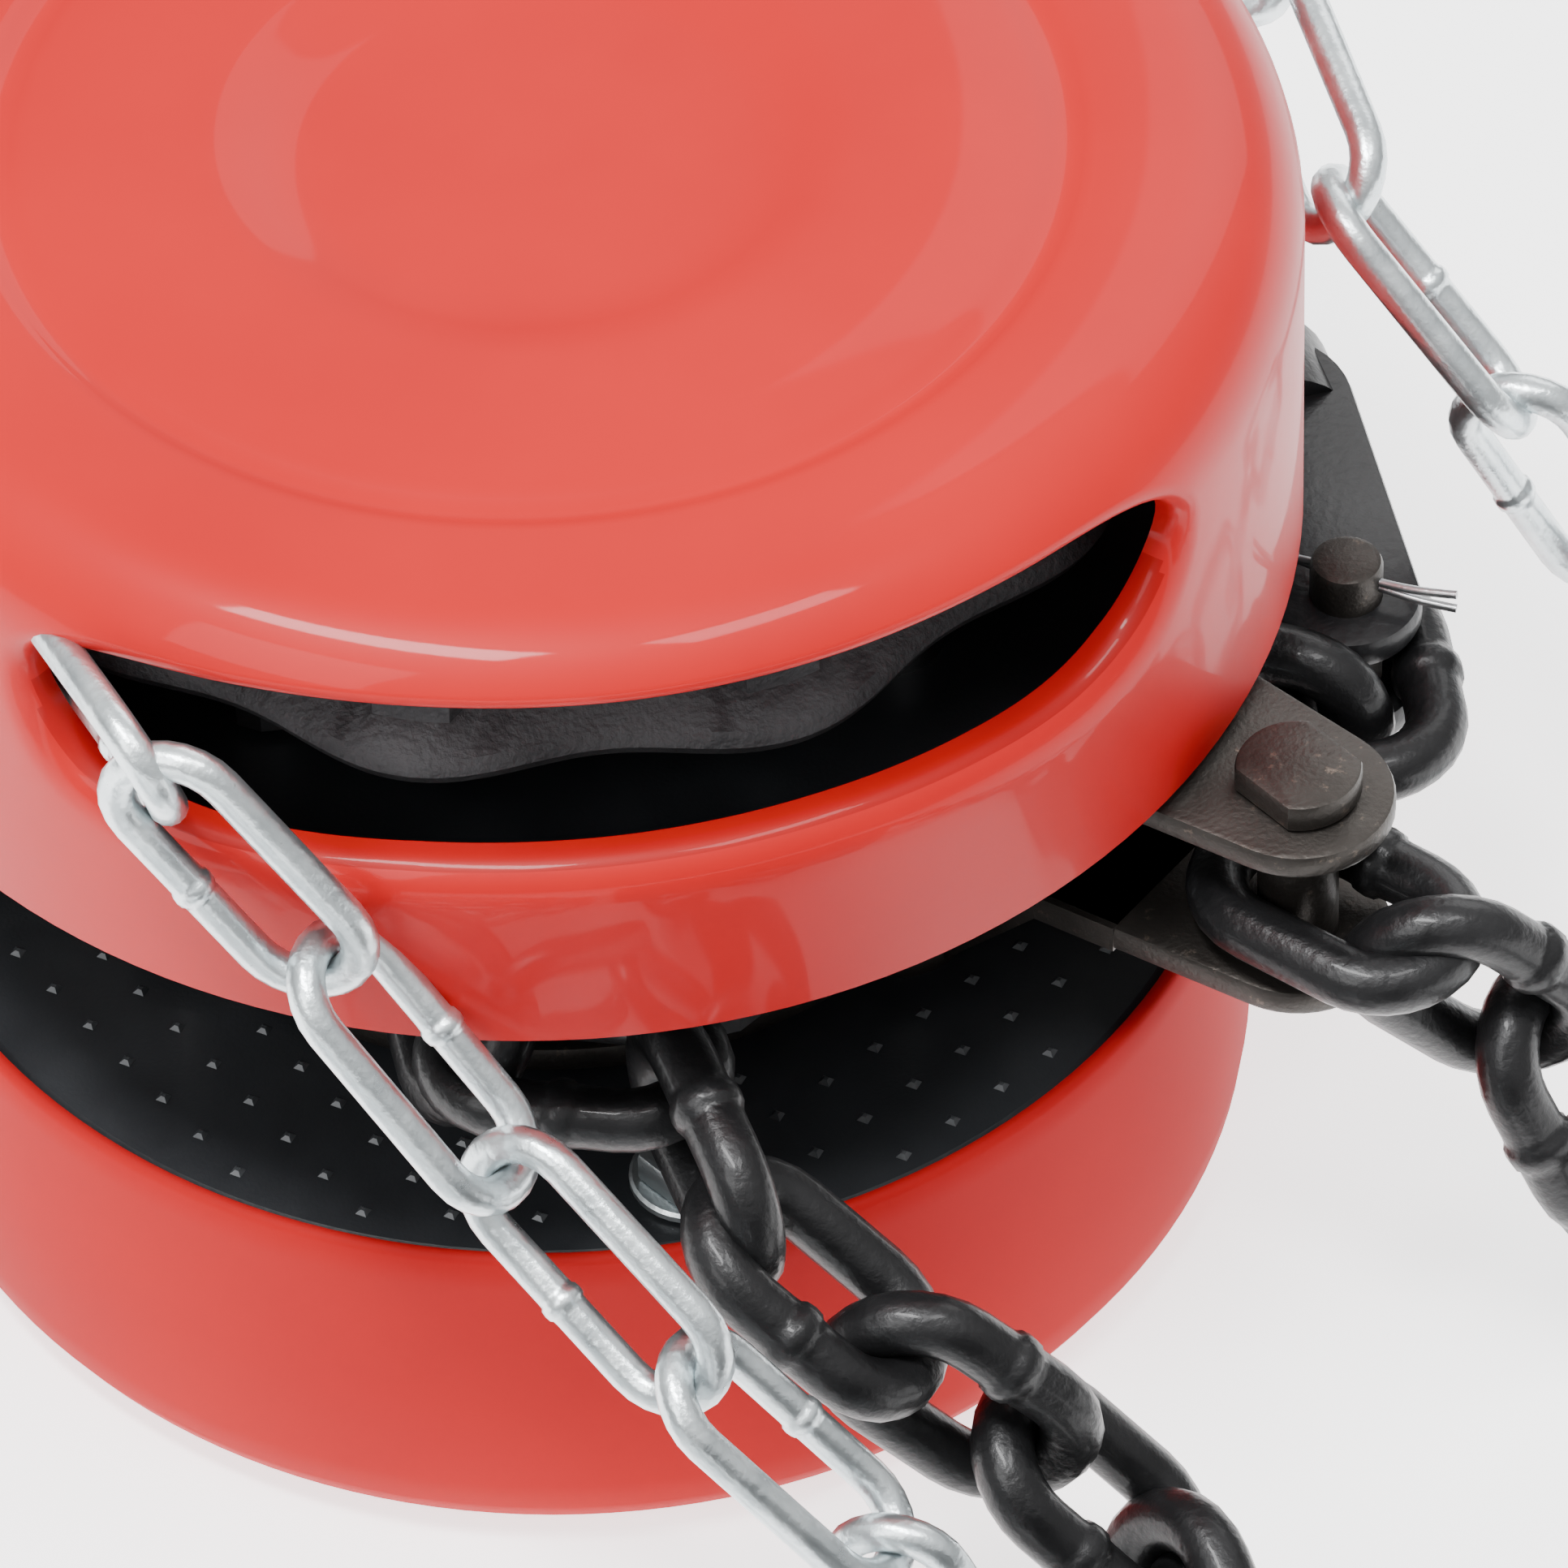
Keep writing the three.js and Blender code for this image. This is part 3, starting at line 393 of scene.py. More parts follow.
def turns(coil, stations, step=12):
    """Points round a coil, every "step" degrees, between stations of (degrees, radius, z)."""
    made = []
    for (a0, r0, z0), (a1, r1, z1) in zip(stations, stations[1:]):
        count = max(1, round((a1 - a0) / step))
        for i in range(count):
            t = i / count
            made.append(beside(coil, r0 + (r1 - r0) * t, a0 + (a1 - a0) * t, z0 + (z1 - z0) * t))
    return made


# In view the points are the joints between links. Further on they only mark the way.
HAND_START = [
    (-45, -46, 104.8), (-34.8, -68.9, 108.3), (-20, -73, 88.1), (-5.2, -81.5, 69.4),
    (11.3, -95.5, 56.3), (28.1, -100.6, 38), (38.5, -102, 19),
]
HAND_OUT = [
    (38.5, -102, 19), (37, -104.5, 11), (27, -107.5, 8), (12, -113, 8), (-6, -118, 8),
    (-28, -123.5, 8), (-50, -130.5, 8),
]
HAND_TURNS = turns(HAND_COIL, [
    (90, 82.5, 7.5), (415, 82.5, 7.5), (445, 67.5, 7.5), (775, 67.5, 7.5), (805, 67.5, 22.5),
    (1135, 67.5, 22.5), (1165, 82.5, 22.5), (1495, 82.5, 22.5), (1525, 82.5, 37.5),
    (1855, 82.5, 37.5), (1885, 67.5, 37.5), (2215, 67.5, 37.5), (2245, 67.5, 52.5),
    (2575, 67.5, 52.5), (2605, 82.5, 52.5), (2790, 82.5, 52.5),
])
HAND_BACK = [
    (-72, -298.5, 52.5), (-50, -299.5, 50), (-28, -300, 42), (-8, -299, 31), (10, -298, 18),
    (30, -296.5, 9.5), (60, -295, 8), beside(LOAD_COIL, 79, 275, 8), beside(LOAD_COIL, 79, 295, 8),
    beside(LOAD_COIL, 79, 315, 8), beside(LOAD_COIL, 79, 335, 8), beside(LOAD_COIL, 79, 355, 8),
    (168, -190, 8), (168.5, -165, 8), (168, -140, 8), (166, -115, 8), (160, -92, 8),
    (153, -72, 8), (147, -52, 8), (141, -34, 8), (134, -16, 9), (126, -4, 14), (114, 7, 30),
    (103.5, 7.5, 51),
]
HAND_END = [
    (90.1, 7, 77), (74.9, 17.8, 93.8), (68.4, 41.5, 98.5), (47.8, 54.9, 103.5), (23.6, 60.5, 107),
]
LOAD_START = [
    (-11, -37.4, 57), (-8, -55, 57), (9.7, -57.5, 57), (15.4, -74.3, 54),
    (28.4, -80.4, 43.2), (41, -80.9, 30.5), (53.1, -83.6, 17.6),
]
LOAD_OUT = [
    (53.1, -83.6, 17.6), (59, -90, 11), (59, -103, 10), (53.5, -120, 10), (43.5, -142, 10),
    (34.5, -168, 10), (29.8, -194, 10),
]
LOAD_TURNS = turns(LOAD_COIL, [
    (180, 60, 10), (470, 60, 10), (505, 40, 10), (815, 40, 10), (850, 40, 30), (1150, 40, 30),
    (1185, 60, 30), (1500, 60, 30), (1535, 60, 50), (1850, 60, 50), (1885, 40, 50),
    (2195, 40, 50), (2230, 40, 70), (2530, 40, 70), (2565, 60, 70), (2880, 60, 70),
])
LOAD_BACK = [
    (149, -216, 70), (150.5, -196, 68), (152, -176, 60), (152, -158, 46), (150, -142, 30),
    (147.5, -124, 16), (143, -106, 10), (135, -88, 10), (125, -72, 11), (114, -58, 16),
    (97.7, -48.6, 30.3),
]
LOAD_END = [(90.4, -45.5, 46.7), (79, -48.8, 60)]


def through(start, middle, end):
    """A chain's whole line: its joints in view, a smooth way out of view, and its joints again."""
    points = smooth_line(middle, 4)
    return [Vector(p) for p in start[:-1]] + points + [Vector(p) for p in end]


hand_line = through(HAND_START, HAND_OUT + HAND_TURNS + HAND_BACK, HAND_END)
load_line = through(LOAD_START, LOAD_OUT + LOAD_TURNS + LOAD_BACK, LOAD_END)
hand_chain, hand_joints = chain(
    "hand-chain", hand_line, HAND_SIZE, (135, 45), {0: 84, -4: 72}, odd=True)
load_chain, load_joints = chain(
    "load-chain", load_line, LOAD_SIZE, (225, 315), {2: 255}, odd=False)
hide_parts("hand_chain_strand_1", "hand_chain_strand_2", "hand_chain_coil")
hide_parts("load_chain_slack_1", "load_chain_slack_2", "load_chain_coil")


# ---- Materials -----------------------------------------------------------------------------------
SHEEN_SPREAD = 0.08  # how far roughness strays to either side
WEAR_BAND = 0.12  # how soft the edge of a worn patch is
RELIEF = 0.0004  # metres of height in the fine relief


def material(name, dark, light, rough, metal=0.0, coat=0.0, grain=60, bump=0.0, fine=1500,
             wear=None, wear_share=0.5, spread=0.5, gloss=0.5):
    """A plain finish with soft blotches of colour, uneven sheen and fine relief."""
    made = bpy.data.materials.new(name)
    made.use_nodes = True
    nodes, links = made.node_tree.nodes, made.node_tree.links
    shader = nodes["Principled BSDF"]
    where = nodes.new("ShaderNodeTexCoord")
    blotch = nodes.new("ShaderNodeTexNoise")
    blotch.inputs["Scale"].default_value = grain
    blotch.inputs["Detail"].default_value = 6
    links.new(where.outputs["Object"], blotch.inputs["Vector"])
    ramp = nodes.new("ShaderNodeValToRGB")
    ramp.color_ramp.elements[0].position = 0.5 - spread / 2
    ramp.color_ramp.elements[1].position = 0.5 + spread / 2
    ramp.color_ramp.elements[0].color = (*dark, 1)
    ramp.color_ramp.elements[1].color = (*light, 1)
    links.new(blotch.outputs["Fac"], ramp.inputs["Fac"])
    colour = ramp.outputs["Color"]
    if wear is not None:
        mask = nodes.new("ShaderNodeTexNoise")
        mask.inputs["Scale"].default_value = grain * 4
        mask.inputs["Detail"].default_value = 8
        mask.inputs["Roughness"].default_value = 0.7
        links.new(where.outputs["Object"], mask.inputs["Vector"])
        limit = nodes.new("ShaderNodeMapRange")
        limit.inputs["From Min"].default_value = wear_share
        limit.inputs["From Max"].default_value = wear_share + WEAR_BAND
        links.new(mask.outputs["Fac"], limit.inputs["Value"])
        mix = nodes.new("ShaderNodeMix")
        mix.data_type = "RGBA"
        links.new(limit.outputs["Result"], mix.inputs["Factor"])
        links.new(colour, mix.inputs["A"])
        mix.inputs["B"].default_value = (*wear, 1)
        colour = mix.outputs["Result"]
    links.new(colour, shader.inputs["Base Color"])
    shader.inputs["Metallic"].default_value = metal
    uneven = nodes.new("ShaderNodeMapRange")
    uneven.inputs["To Min"].default_value = max(0.05, rough - SHEEN_SPREAD)
    uneven.inputs["To Max"].default_value = min(1.0, rough + SHEEN_SPREAD)
    links.new(blotch.outputs["Fac"], uneven.inputs["Value"])
    links.new(uneven.outputs["Result"], shader.inputs["Roughness"])
    shader.inputs["Specular IOR Level"].default_value = gloss
    shader.inputs["Coat Weight"].default_value = coat
    shader.inputs["Coat Roughness"].default_value = 0.06
    if bump:
        specks = nodes.new("ShaderNodeTexNoise")
        specks.inputs["Scale"].default_value = fine
        specks.inputs["Detail"].default_value = 4
        links.new(where.outputs["Object"], specks.inputs["Vector"])
        relief = nodes.new("ShaderNodeBump")
        relief.inputs["Strength"].default_value = bump
        relief.inputs["Distance"].default_value = RELIEF
        links.new(specks.outputs["Fac"], relief.inputs["Height"])
        links.new(relief.outputs["Normal"], shader.inputs["Normal"])
    return made


RED = material("red enamel", (0.40, 0.006, 0.007), (0.46, 0.009, 0.009), 0.45, coat=0.16,
               grain=28, bump=0.03, fine=500, gloss=0.12)
# A darker, less glossy copy of the red enamel for the lower cover: painted shade on the same paint.
SHADED_MATT_RED = material("red enamel below, painted shade", (0.34, 0.006, 0.007), (0.40, 0.009, 0.010), 0.6, grain=28,
                bump=0.03, fine=500, gloss=0.07)
# A darker red for the inside of the wall and the rolled lips low in the windows: painted shade in the
# recess.
RECESS_SHADE_RED = material("red recess, painted shade", (0.27, 0.002, 0.002), (0.34, 0.004, 0.004), 0.4, coat=0.12,
                 grain=40, gloss=0.12)
PLATE = material("black plate", (0.010, 0.011, 0.013), (0.020, 0.022, 0.025), 0.45, coat=0.1,
                 grain=90, bump=0.12, fine=2200)
DIMPLE = material("dimple", (0.03, 0.034, 0.038), (0.09, 0.095, 0.10), 0.35, metal=0.3, grain=500)
DARK = material("dark steel", (0.030, 0.026, 0.023), (0.060, 0.054, 0.049), 0.42, metal=0.75,
                grain=120, bump=0.2, fine=1800, wear=(0.16, 0.125, 0.10), wear_share=0.60)
STEEL = material("bright steel", (0.30, 0.31, 0.32), (0.46, 0.47, 0.48), 0.32, metal=1.0,
                 grain=200, bump=0.08, fine=2500)
ZINC = material("zinc", (0.50, 0.55, 0.57), (0.74, 0.79, 0.80), 0.30, metal=0.92, grain=260,
                bump=0.25, fine=900, wear=(0.33, 0.35, 0.36), wear_share=0.62)
CAST = material("cast black", (0.035, 0.035, 0.038), (0.085, 0.085, 0.09), 0.55, metal=0.2,
                grain=150, bump=0.7, fine=1300, wear=(0.075, 0.07, 0.066), wear_share=0.66)
CHAIN = material("black chain", (0.006, 0.006, 0.0065), (0.016, 0.016, 0.017), 0.38, metal=0.35,
                 coat=0.1, grain=180, bump=0.3, fine=1100, wear=(0.07, 0.068, 0.066),
                 wear_share=0.68, gloss=0.35)
HOOK = material("black hook", (0.005, 0.005, 0.006), (0.013, 0.013, 0.014), 0.42, coat=0.08,
                grain=90, bump=0.3, fine=900, gloss=0.3)
LINING = material("friction lining", (0.10, 0.07, 0.05), (0.20, 0.15, 0.11), 0.85, grain=500,
                  bump=0.6, fine=2500)
BY_SLOT = {
    "red_enamel": RED, "black_plate": PLATE, "dark_steel": DARK, "bright_steel": STEEL,
    "zinc": ZINC, "cast_black": CAST, "black_chain": CHAIN, "black_hook": HOOK,
    "friction_lining": LINING,
}


def finish(piece, slot, *others):
    piece.data.materials.clear()
    for look in (BY_SLOT[slot], *others):
        piece.data.materials.append(look)
    return piece


slots = {s["node"]: s["material_slot"] for s in frame["record"]["subparts"]}
for node_name, node in frame["nodes"].items():
    node.data.materials.clear()
    node.data.materials.append(BY_SLOT[slots[node_name]])
finish(hand_chain, "zinc")
finish(load_chain, "black_chain")

# ---- Hand-wheel cover ----------------------------------------------------------------------------
COVER_R, COVER_LOW, COVER_TOP, FILLET = 71.0, 75.0, 120.8, 11.0
WALL_HEIGHT = COVER_TOP - FILLET - COVER_LOW
FILLET_LENGTH = FILLET * math.pi / 2
COLUMNS, WALL_ROWS, FILLET_ROWS = 144, 12, 10  # faces round the cover and up it
LIP_STEPS = 8  # faces across the window's rolled lip
LIP_DEPTH, LIP_TAIL = 0.8, 1.2  # depth as a share of its reach, then mm straight in
LIP_CLEAR = 1.1  # mm from the lip to the nearest points of the wall
LIP_WIDE, LIP_NARROW = 4.2, 1.3  # reach at the foot of the window and at its head
WINDOW_FOOT, WINDOW_HEAD = 98, 115.6
SHEET = 0.0013  # metres, the thickness of the cover's wall
COVER_CREASE = 50  # degrees, above which an edge stays sharp
SHADE_TOP = 104  # mm, below which the inside of the wall is the darker red of painted shade


def on_cover(u, s):
    """A place on the wall or fillet: u round it and s up it, both in mm along the surface."""
    angle = u / COVER_R
    if s <= WALL_HEIGHT:
        radius, z, tilt = COVER_R, COVER_LOW + s, 0.0
    else:
        tilt = (s - WALL_HEIGHT) / FILLET
        radius = COVER_R - FILLET + FILLET * math.cos(tilt)
        z = COVER_TOP - FILLET + FILLET * math.sin(tilt)
    place = Vector((radius * math.cos(angle), radius * math.sin(angle), z))
    out = Vector((math.cos(tilt) * math.cos(angle), math.cos(tilt) * math.sin(angle), math.sin(tilt)))
    return place, out


def up_cover(z):
    """How far up the wall and fillet a height is, along the surface."""
    over = z - (COVER_TOP - FILLET)
    return z - COVER_LOW if over <= 0 else WALL_HEIGHT + FILLET * math.asin(over / FILLET)


# The window's edge as (degrees round, z), anticlockwise seen from outside.
WINDOW = [
    (-131.4, 107), (-130.4, 101.5), (-127, 96.6), (-120, 94.4), (-112, 94.4), (-100, 95.6),
    (-84, 96.2), (-68, 96.4), (-55, 96.2), (-46, 96.6), (-39.5, 99.2), (-36, 103.4),
    (-34.8, 107.6), (-36.4, 111.8), (-41, 114.4), (-50, 115.5), (-66, 115.7), (-84, 115.6),
    (-100, 115.4), (-115, 114.4), (-125, 112.9), (-129.8, 110.6),
]


def window_edge(mirrored):
    """The window's edge laid flat, or that of the window on the cover's other side."""
    flat = [(math.radians(a) * COVER_R, up_cover(z), 0) for a, z in WINDOW]
    edge = smooth_line(flat, 3, closed=True)[:-1]
    if mirrored:
        edge = [Vector((-p.x, p.y, 0)) for p in reversed(edge)]
    return edge


def lip_reach(s):
    """How far the rolled lip spreads: wide under the window, narrow over it."""
    low, high = up_cover(WINDOW_FOOT), up_cover(WINDOW_HEAD)
    t = min(1.0, max(0.0, (s - low) / (high - low)))
    return LIP_WIDE * (1 - t) + LIP_NARROW * t


def wheel_cover():
    """The wall laid flat, meshed round both windows and rolled up, then the lips and the top."""
    build = Build()
    whole = 2 * math.pi * COVER_R
    points, edges = [], []
    levels = [WALL_HEIGHT * i / WALL_ROWS for i in range(WALL_ROWS)]
    levels += [WALL_HEIGHT + FILLET_LENGTH * i / FILLET_ROWS for i in range(FILLET_ROWS + 1)]
    holes = []
    lips = []
    for mirrored in (False, True):
        edge = window_edge(mirrored)
        outer = []
        count = len(edge)
        for i, p in enumerate(edge):
            along = (edge[(i + 1) % count] - edge[i - 1]).normalized()
            out = Vector((along.y, -along.x, 0))
            outer.append((p, out, lip_reach(p.y)))
        ring = [p + out * reach for p, out, reach in outer]
        base = len(points)
        points += [Vector((p.x, p.y)) for p in ring]
        edges += [(base + i, base + (i + 1) % count) for i in range(count)]
        holes.append(ring)
        lips.append(outer)

    def inside(p, ring, margin):
        hit = False
        for a, b in zip(ring, ring[1:] + ring[:1]):
            if (a.y > p.y) != (b.y > p.y) and p.x < (b.x - a.x) * (p.y - a.y) / (b.y - a.y) + a.x:
                hit = not hit
            if margin and (Vector((a.x, a.y)) - p).length < margin:
                return True
        return hit

    low_u = -math.pi * COVER_R
    for i in range(COLUMNS + 1):
        for s in levels:
            p = Vector((low_u + whole * i / COLUMNS, s))
            border = s in (levels[0], levels[-1]) or i in (0, COLUMNS)
            if border or not any(inside(p, ring, LIP_CLEAR) for ring in holes):
                points.append(p)
    made, _, faces, _, _, _ = delaunay_2d_cdt(points, edges, [], 0, 1e-4)
    kept = []
    for face in faces:
        middle = sum((made[i] for i in face), Vector((0, 0))) / len(face)
        if not any(inside(middle, ring, 0) for ring in holes):
            kept.append(tuple(face))
    build.add([on_cover(p.x, p.y)[0] for p in made], kept)
    for outer in lips:
        rows = []
        for k in range(LIP_STEPS + 1):
            turn = math.pi / 2 * k / LIP_STEPS
            row = []
            for p, out, reach in outer:
                q = p + out * reach * (1 - math.sin(turn))
                place, normal = on_cover(q.x, q.y)
                row.append(place - normal * reach * LIP_DEPTH * (1 - math.cos(turn)))
            rows.append(row)
        row = []
        for p, out, reach in outer:
            place, normal = on_cover(p.x, p.y)
            row.append(place - normal * (reach * LIP_DEPTH + LIP_TAIL))
        rows.append(row)
        build.add(*rings(rows, cap=False))
    top = [
        (60, COVER_TOP), (55, COVER_TOP), (52, COVER_TOP), (50.8, COVER_TOP - 0.25),
        (49.9, COVER_TOP - 0.8), (48.9, COVER_TOP - 0.85), (47.6, COVER_TOP - 0.35),
        (46, COVER_TOP), (38, COVER_TOP + 0.15), (30, COVER_TOP + 0.15), (27.5, COVER_TOP - 0.1),
        (25, COVER_TOP - 0.8), (22.5, COVER_TOP - 1.35), (20, COVER_TOP - 1.5),
        (12, COVER_TOP - 1.5), (5, COVER_TOP - 1.5), (0, COVER_TOP - 1.5),
    ]
    build.add(*turned(top, COLUMNS))
    # Of the top's two caps only the one in the middle stays: the other would close the cover.
    middle_row = len(build.points) - COLUMNS
    build.faces = [f for f in build.faces if len(f) <= 4 or f[0] >= middle_row]
    return build


cover = wheel_cover().piece("wheel-cover", crease=COVER_CREASE)
thick = bmesh.new()
thick.from_mesh(cover.data)
bmesh.ops.remove_doubles(thick, verts=thick.verts, dist=2e-6)
bmesh.ops.recalc_face_normals(thick, faces=thick.faces)
bmesh.ops.solidify(thick, geom=thick.faces[:], thickness=SHEET)
bmesh.ops.recalc_face_normals(thick, faces=thick.faces)
thick.to_mesh(cover.data)
thick.free()
cover.data.polygons.foreach_set("use_smooth", [True] * len(cover.data.polygons))
cover.data.set_sharp_from_angle(angle=math.radians(COVER_CREASE))
finish(cover, "red_enamel", RECESS_SHADE_RED)
# Faces inside the wall, low down, take the darker red: painted shade in the recess.
for face in cover.data.polygons:
    x, y, z = face.center / MM
    if math.hypot(x, y) < COVER_R - 1.5 and z < SHADE_TOP:
        face.material_index = 1
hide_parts("hand_wheel_cover")

# ---- Gear cover ----------------------------------------------------------------------------------
STUD_CIRCLE = 56
STUDS = [on_circle(STUD_CIRCLE, degrees) for degrees in (-78, 30, 150)]
gear = Build()
gear.add(*turned([
    (0, 0.2), (57, 0.2), (61, 0.8), (64, 2.6), (65.6, 5.4), (66.1, 9), (66, 20), (66, 36),
    (65.9, 39.2), (65.5, 39.8), (64.9, 39.9), (64.4, 39.6), (64.2, 38), (64.1, 10), (62, 4.4),
    (57, 2.2), (0, 2.2),
], 144))
for at in STUDS:
    gear.add(*turned(rounded(3, 2, 44.6, 0.6), 24, at))
gear_cover = finish(gear.piece("lower-cover", crease=COVER_CREASE), "red_enamel")
# The lower cover takes the darker copy of the red: painted shade.
gear_cover.data.materials[0] = SHADED_MATT_RED
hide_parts("gear_cover")

# ---- Gear plate with its punched marks -----------------------------------------------------------
plate = Build()
plate.add(*turned(ring_profile(20.3, 63.7, 35.7, 38.6, 0.5), 144, closed=True))
gear_plate = finish(plate.piece("gear-plate"), "black_plate")
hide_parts("gear_plate")
MARK_START = (1.0, 0.6)
MARK_STEPS = ((3.5, -4.9), (8.2, -0.7))  # from one mark to the next, both ways
MARK_SIZE, MARK_TIP, MARK_TURN = 0.8, 0.35, 0.3  # radius, share of it at the tip, radians
MARK_COUNT = 26  # steps to each side, which is enough to fill the band
MARK_BAND = (44, 61.5)  # radii between which the marks are
STUD_CLEAR = 8  # from a stud's middle to the nearest marks
marks = Build()
for i in range(-MARK_COUNT, MARK_COUNT + 1):
    for j in range(-MARK_COUNT, MARK_COUNT + 1):
        x, y = [MARK_STEPS[0][k] * i + MARK_STEPS[1][k] * j + MARK_START[k] for k in (0, 1)]
        in_band = MARK_BAND[0] < math.hypot(x, y) < MARK_BAND[1]
        if in_band and min(math.dist((x, y), at) for at in STUDS) > STUD_CLEAR:
            square = [(x + MARK_SIZE * math.cos(a), y + MARK_SIZE * math.sin(a))
                      for a in (MARK_TURN + k * math.pi / 2 for k in range(4))]
            small = [(x + (px - x) * MARK_TIP, y + (py - y) * MARK_TIP) for px, py in square]
            marks.add(*rings([
                [(px, py, 38.4) for px, py in square],
                [(px, py, 38.64) for px, py in square],
                [(px, py, 39.0) for px, py in small],
            ]))
dimples = marks.piece("gear-plate-marks", smooth=False, crease=None)
finish(dimples, "black_plate")
dimples.data.materials[0] = DIMPLE

upper = Build().add(*turned(ring_profile(14, 68.4, 76, 79, 0.5), 128, closed=True))
wheel_plate = finish(upper.piece("wheel-plate"), "black_plate")
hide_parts("wheel_plate")

# ---- Frame plates --------------------------------------------------------------------------------
ANCHOR = (68.6, -40.2)
EAR_BASE = (6, 9)
EAR_WIDE, EAR_NARROW = 17, 9  # radii of the ear's two ends
SET_OFF = 0.02  # mm between the faces of shapes that lie in one plate
TOP_PIN = (-64, 0)
STAY_CIRCLE = 40
STAYS = [on_circle(STAY_CIRCLE, degrees) for degrees in (-38, -150, 100)]


def frame_shapes(z0, z1, with_ear):
    """A frame plate as overlapping slabs."""
    build = Build()
    outlines = [
        arc((0, 0), 42, 0, 357, 119), arc((6, 14), 38, 0, 357, 119), bar((0, 0), 28, TOP_PIN, 12),
        *[arc(at, 7, 0, 350, 35) for at in STAYS],
    ]
    if with_ear:
        outlines.append(bar(EAR_BASE, EAR_WIDE, ANCHOR, EAR_NARROW))
    for i, outline in enumerate(outlines):
        build.add(*slab(outline, z0 + SET_OFF * i, z1 - SET_OFF * i, 0.6))
    return build


wheel_frame = finish(frame_shapes(70, 73, True).piece("wheel-side-frame"), "dark_steel")
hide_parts("wheel_side_frame")

lower = frame_shapes(40.2, 43.2, False)
heading = math.atan2(ANCHOR[1] - EAR_BASE[1], ANCHOR[0] - EAR_BASE[0])
reach = math.dist(ANCHOR, EAR_BASE)


def along_ear(distance, side):
    """A place on the ear, from its base towards the anchor and out to one side."""
    return (EAR_BASE[0] + distance * math.cos(heading) - side * math.sin(heading),
            EAR_BASE[1] + distance * math.sin(heading) + side * math.cos(heading))


def ear_half(distance):
    """Half of the ear's width at a distance along it."""
    return EAR_WIDE + (EAR_NARROW - EAR_WIDE) * distance / reach * 0.98


# The gear-side ear steps up, so that the two ears hold the end link between them.
STEP_END, LOW_EAR, HIGH_EAR, EAR_SHEET = 57.5, 40.2, 52, 3
lower.add(*slab(bar(along_ear(STEP_END, 0), ear_half(STEP_END) - 0.2, ANCHOR, EAR_NARROW),
                HIGH_EAR, HIGH_EAR + EAR_SHEET, 0.6))
slope = []
for distance, low in ((36, LOW_EAR), (46.5, LOW_EAR), (STEP_END, HIGH_EAR), (66, HIGH_EAR)):
    half = ear_half(distance)
    slope.append([(*along_ear(distance, side), z) for side, z in (
        (-half, low), (half, low), (half, low + EAR_SHEET), (-half, low + EAR_SHEET))])
lower.add(*rings(slope))
gear_frame = finish(lower.piece("gear-side-frame"), "dark_steel")
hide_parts("gear_side_frame")

# ---- Anchor pin, nuts and bolts ------------------------------------------------------------------
HEAD_R, HEAD_FLAT, HEAD_SIDES = 5.9, 4.7, 48  # the head's radius, and how far out its flats are
PIN_FOOT = 51.9  # mm, below which the pin is bright
pin = Build()
flat = math.radians(40)
head = []
for k in range(HEAD_SIDES):
    angle = 2 * math.pi * k / HEAD_SIDES
    x, y = HEAD_R * math.cos(angle), HEAD_R * math.sin(angle)
    x = max(-HEAD_FLAT, min(HEAD_FLAT, x))
    head.append((ANCHOR[0] + x * math.cos(flat) - y * math.sin(flat),
                 ANCHOR[1] + x * math.sin(flat) + y * math.cos(flat)))
pin.add(*slab(head, 73.1, 76.2, 0.5))
pin.add(*turned(rounded(3.8, 49, 74, 0.5), 32, ANCHOR))
pin.add(*turned(rounded(5.0, 48.9, 51.8, 1.0), 32, ANCHOR))
anchor_pin = finish(pin.piece("anchor-pin"), "dark_steel", STEEL)
for face in anchor_pin.data.polygons:
    face.material_index = 1 if face.center.z < PIN_FOOT * MM else 0
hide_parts("anchor_pin")

NUT_R, NUT_TURN = 5.2, 12
for i, at in enumerate(STUDS):
    nut = Build()
    hexagon = [on_circle(NUT_R, 60 * k + NUT_TURN, at) for k in range(6)]
    nut.add(*slab(hexagon, 39.9, 43.4, 0.5))
    nut.add(*turned(ring_profile(3.2, 6.0, 38.7, 39.9, 0.3), 32, at, closed=True))
    piece = finish(nut.piece("cover-nut-%d" % (i + 1)), "zinc")
    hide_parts("gear_cover_nut_%d" % (i + 1))

for i, at in enumerate(STAYS):
    stay = Build().add(*turned([
        (0, 31), (5, 31), (5.4, 31.4), (5.4, 35.3), (4.8, 38.9), (4.8, 43.5), (4.8, 69.7),
        (4.8, 73.3), (4.8, 75.7), (5.2, 79.3), (5.2, 83.4), (4.6, 84), (0, 84)], 32, at))
    piece = finish(stay.piece("stay-bolt-%d" % (i + 1)), "bright_steel")
    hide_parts("stay_bolt_%d" % (i + 1))

# ---- Single load-chain links ---------------------------------------------------------------------
ANCHOR_HEADING = -38  # degrees: the way the end link lies
ANCHOR_REACH, ANCHOR_LEVEL = 4.4, 60  # from the pin's middle to the link's, and its height
LIVE_HEADINGS = (276, 161, 112)  # from the lower hook's pin inwards
single = link_shape(*LOAD_SIZE, 16, 14, True)


def level_link(name, node, centre, degrees, tilt=0.0):
    """A link that lies level, or tilted about its own length."""
    turn = Matrix.Rotation(math.radians(degrees), 4, "Z")
    turn = turn @ Matrix.Rotation(math.radians(tilt), 4, "X")
    piece = Build().add(*single, Matrix.Translation(centre) @ turn).piece(name, crease=60)
    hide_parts(node)
    return finish(piece, "black_chain")


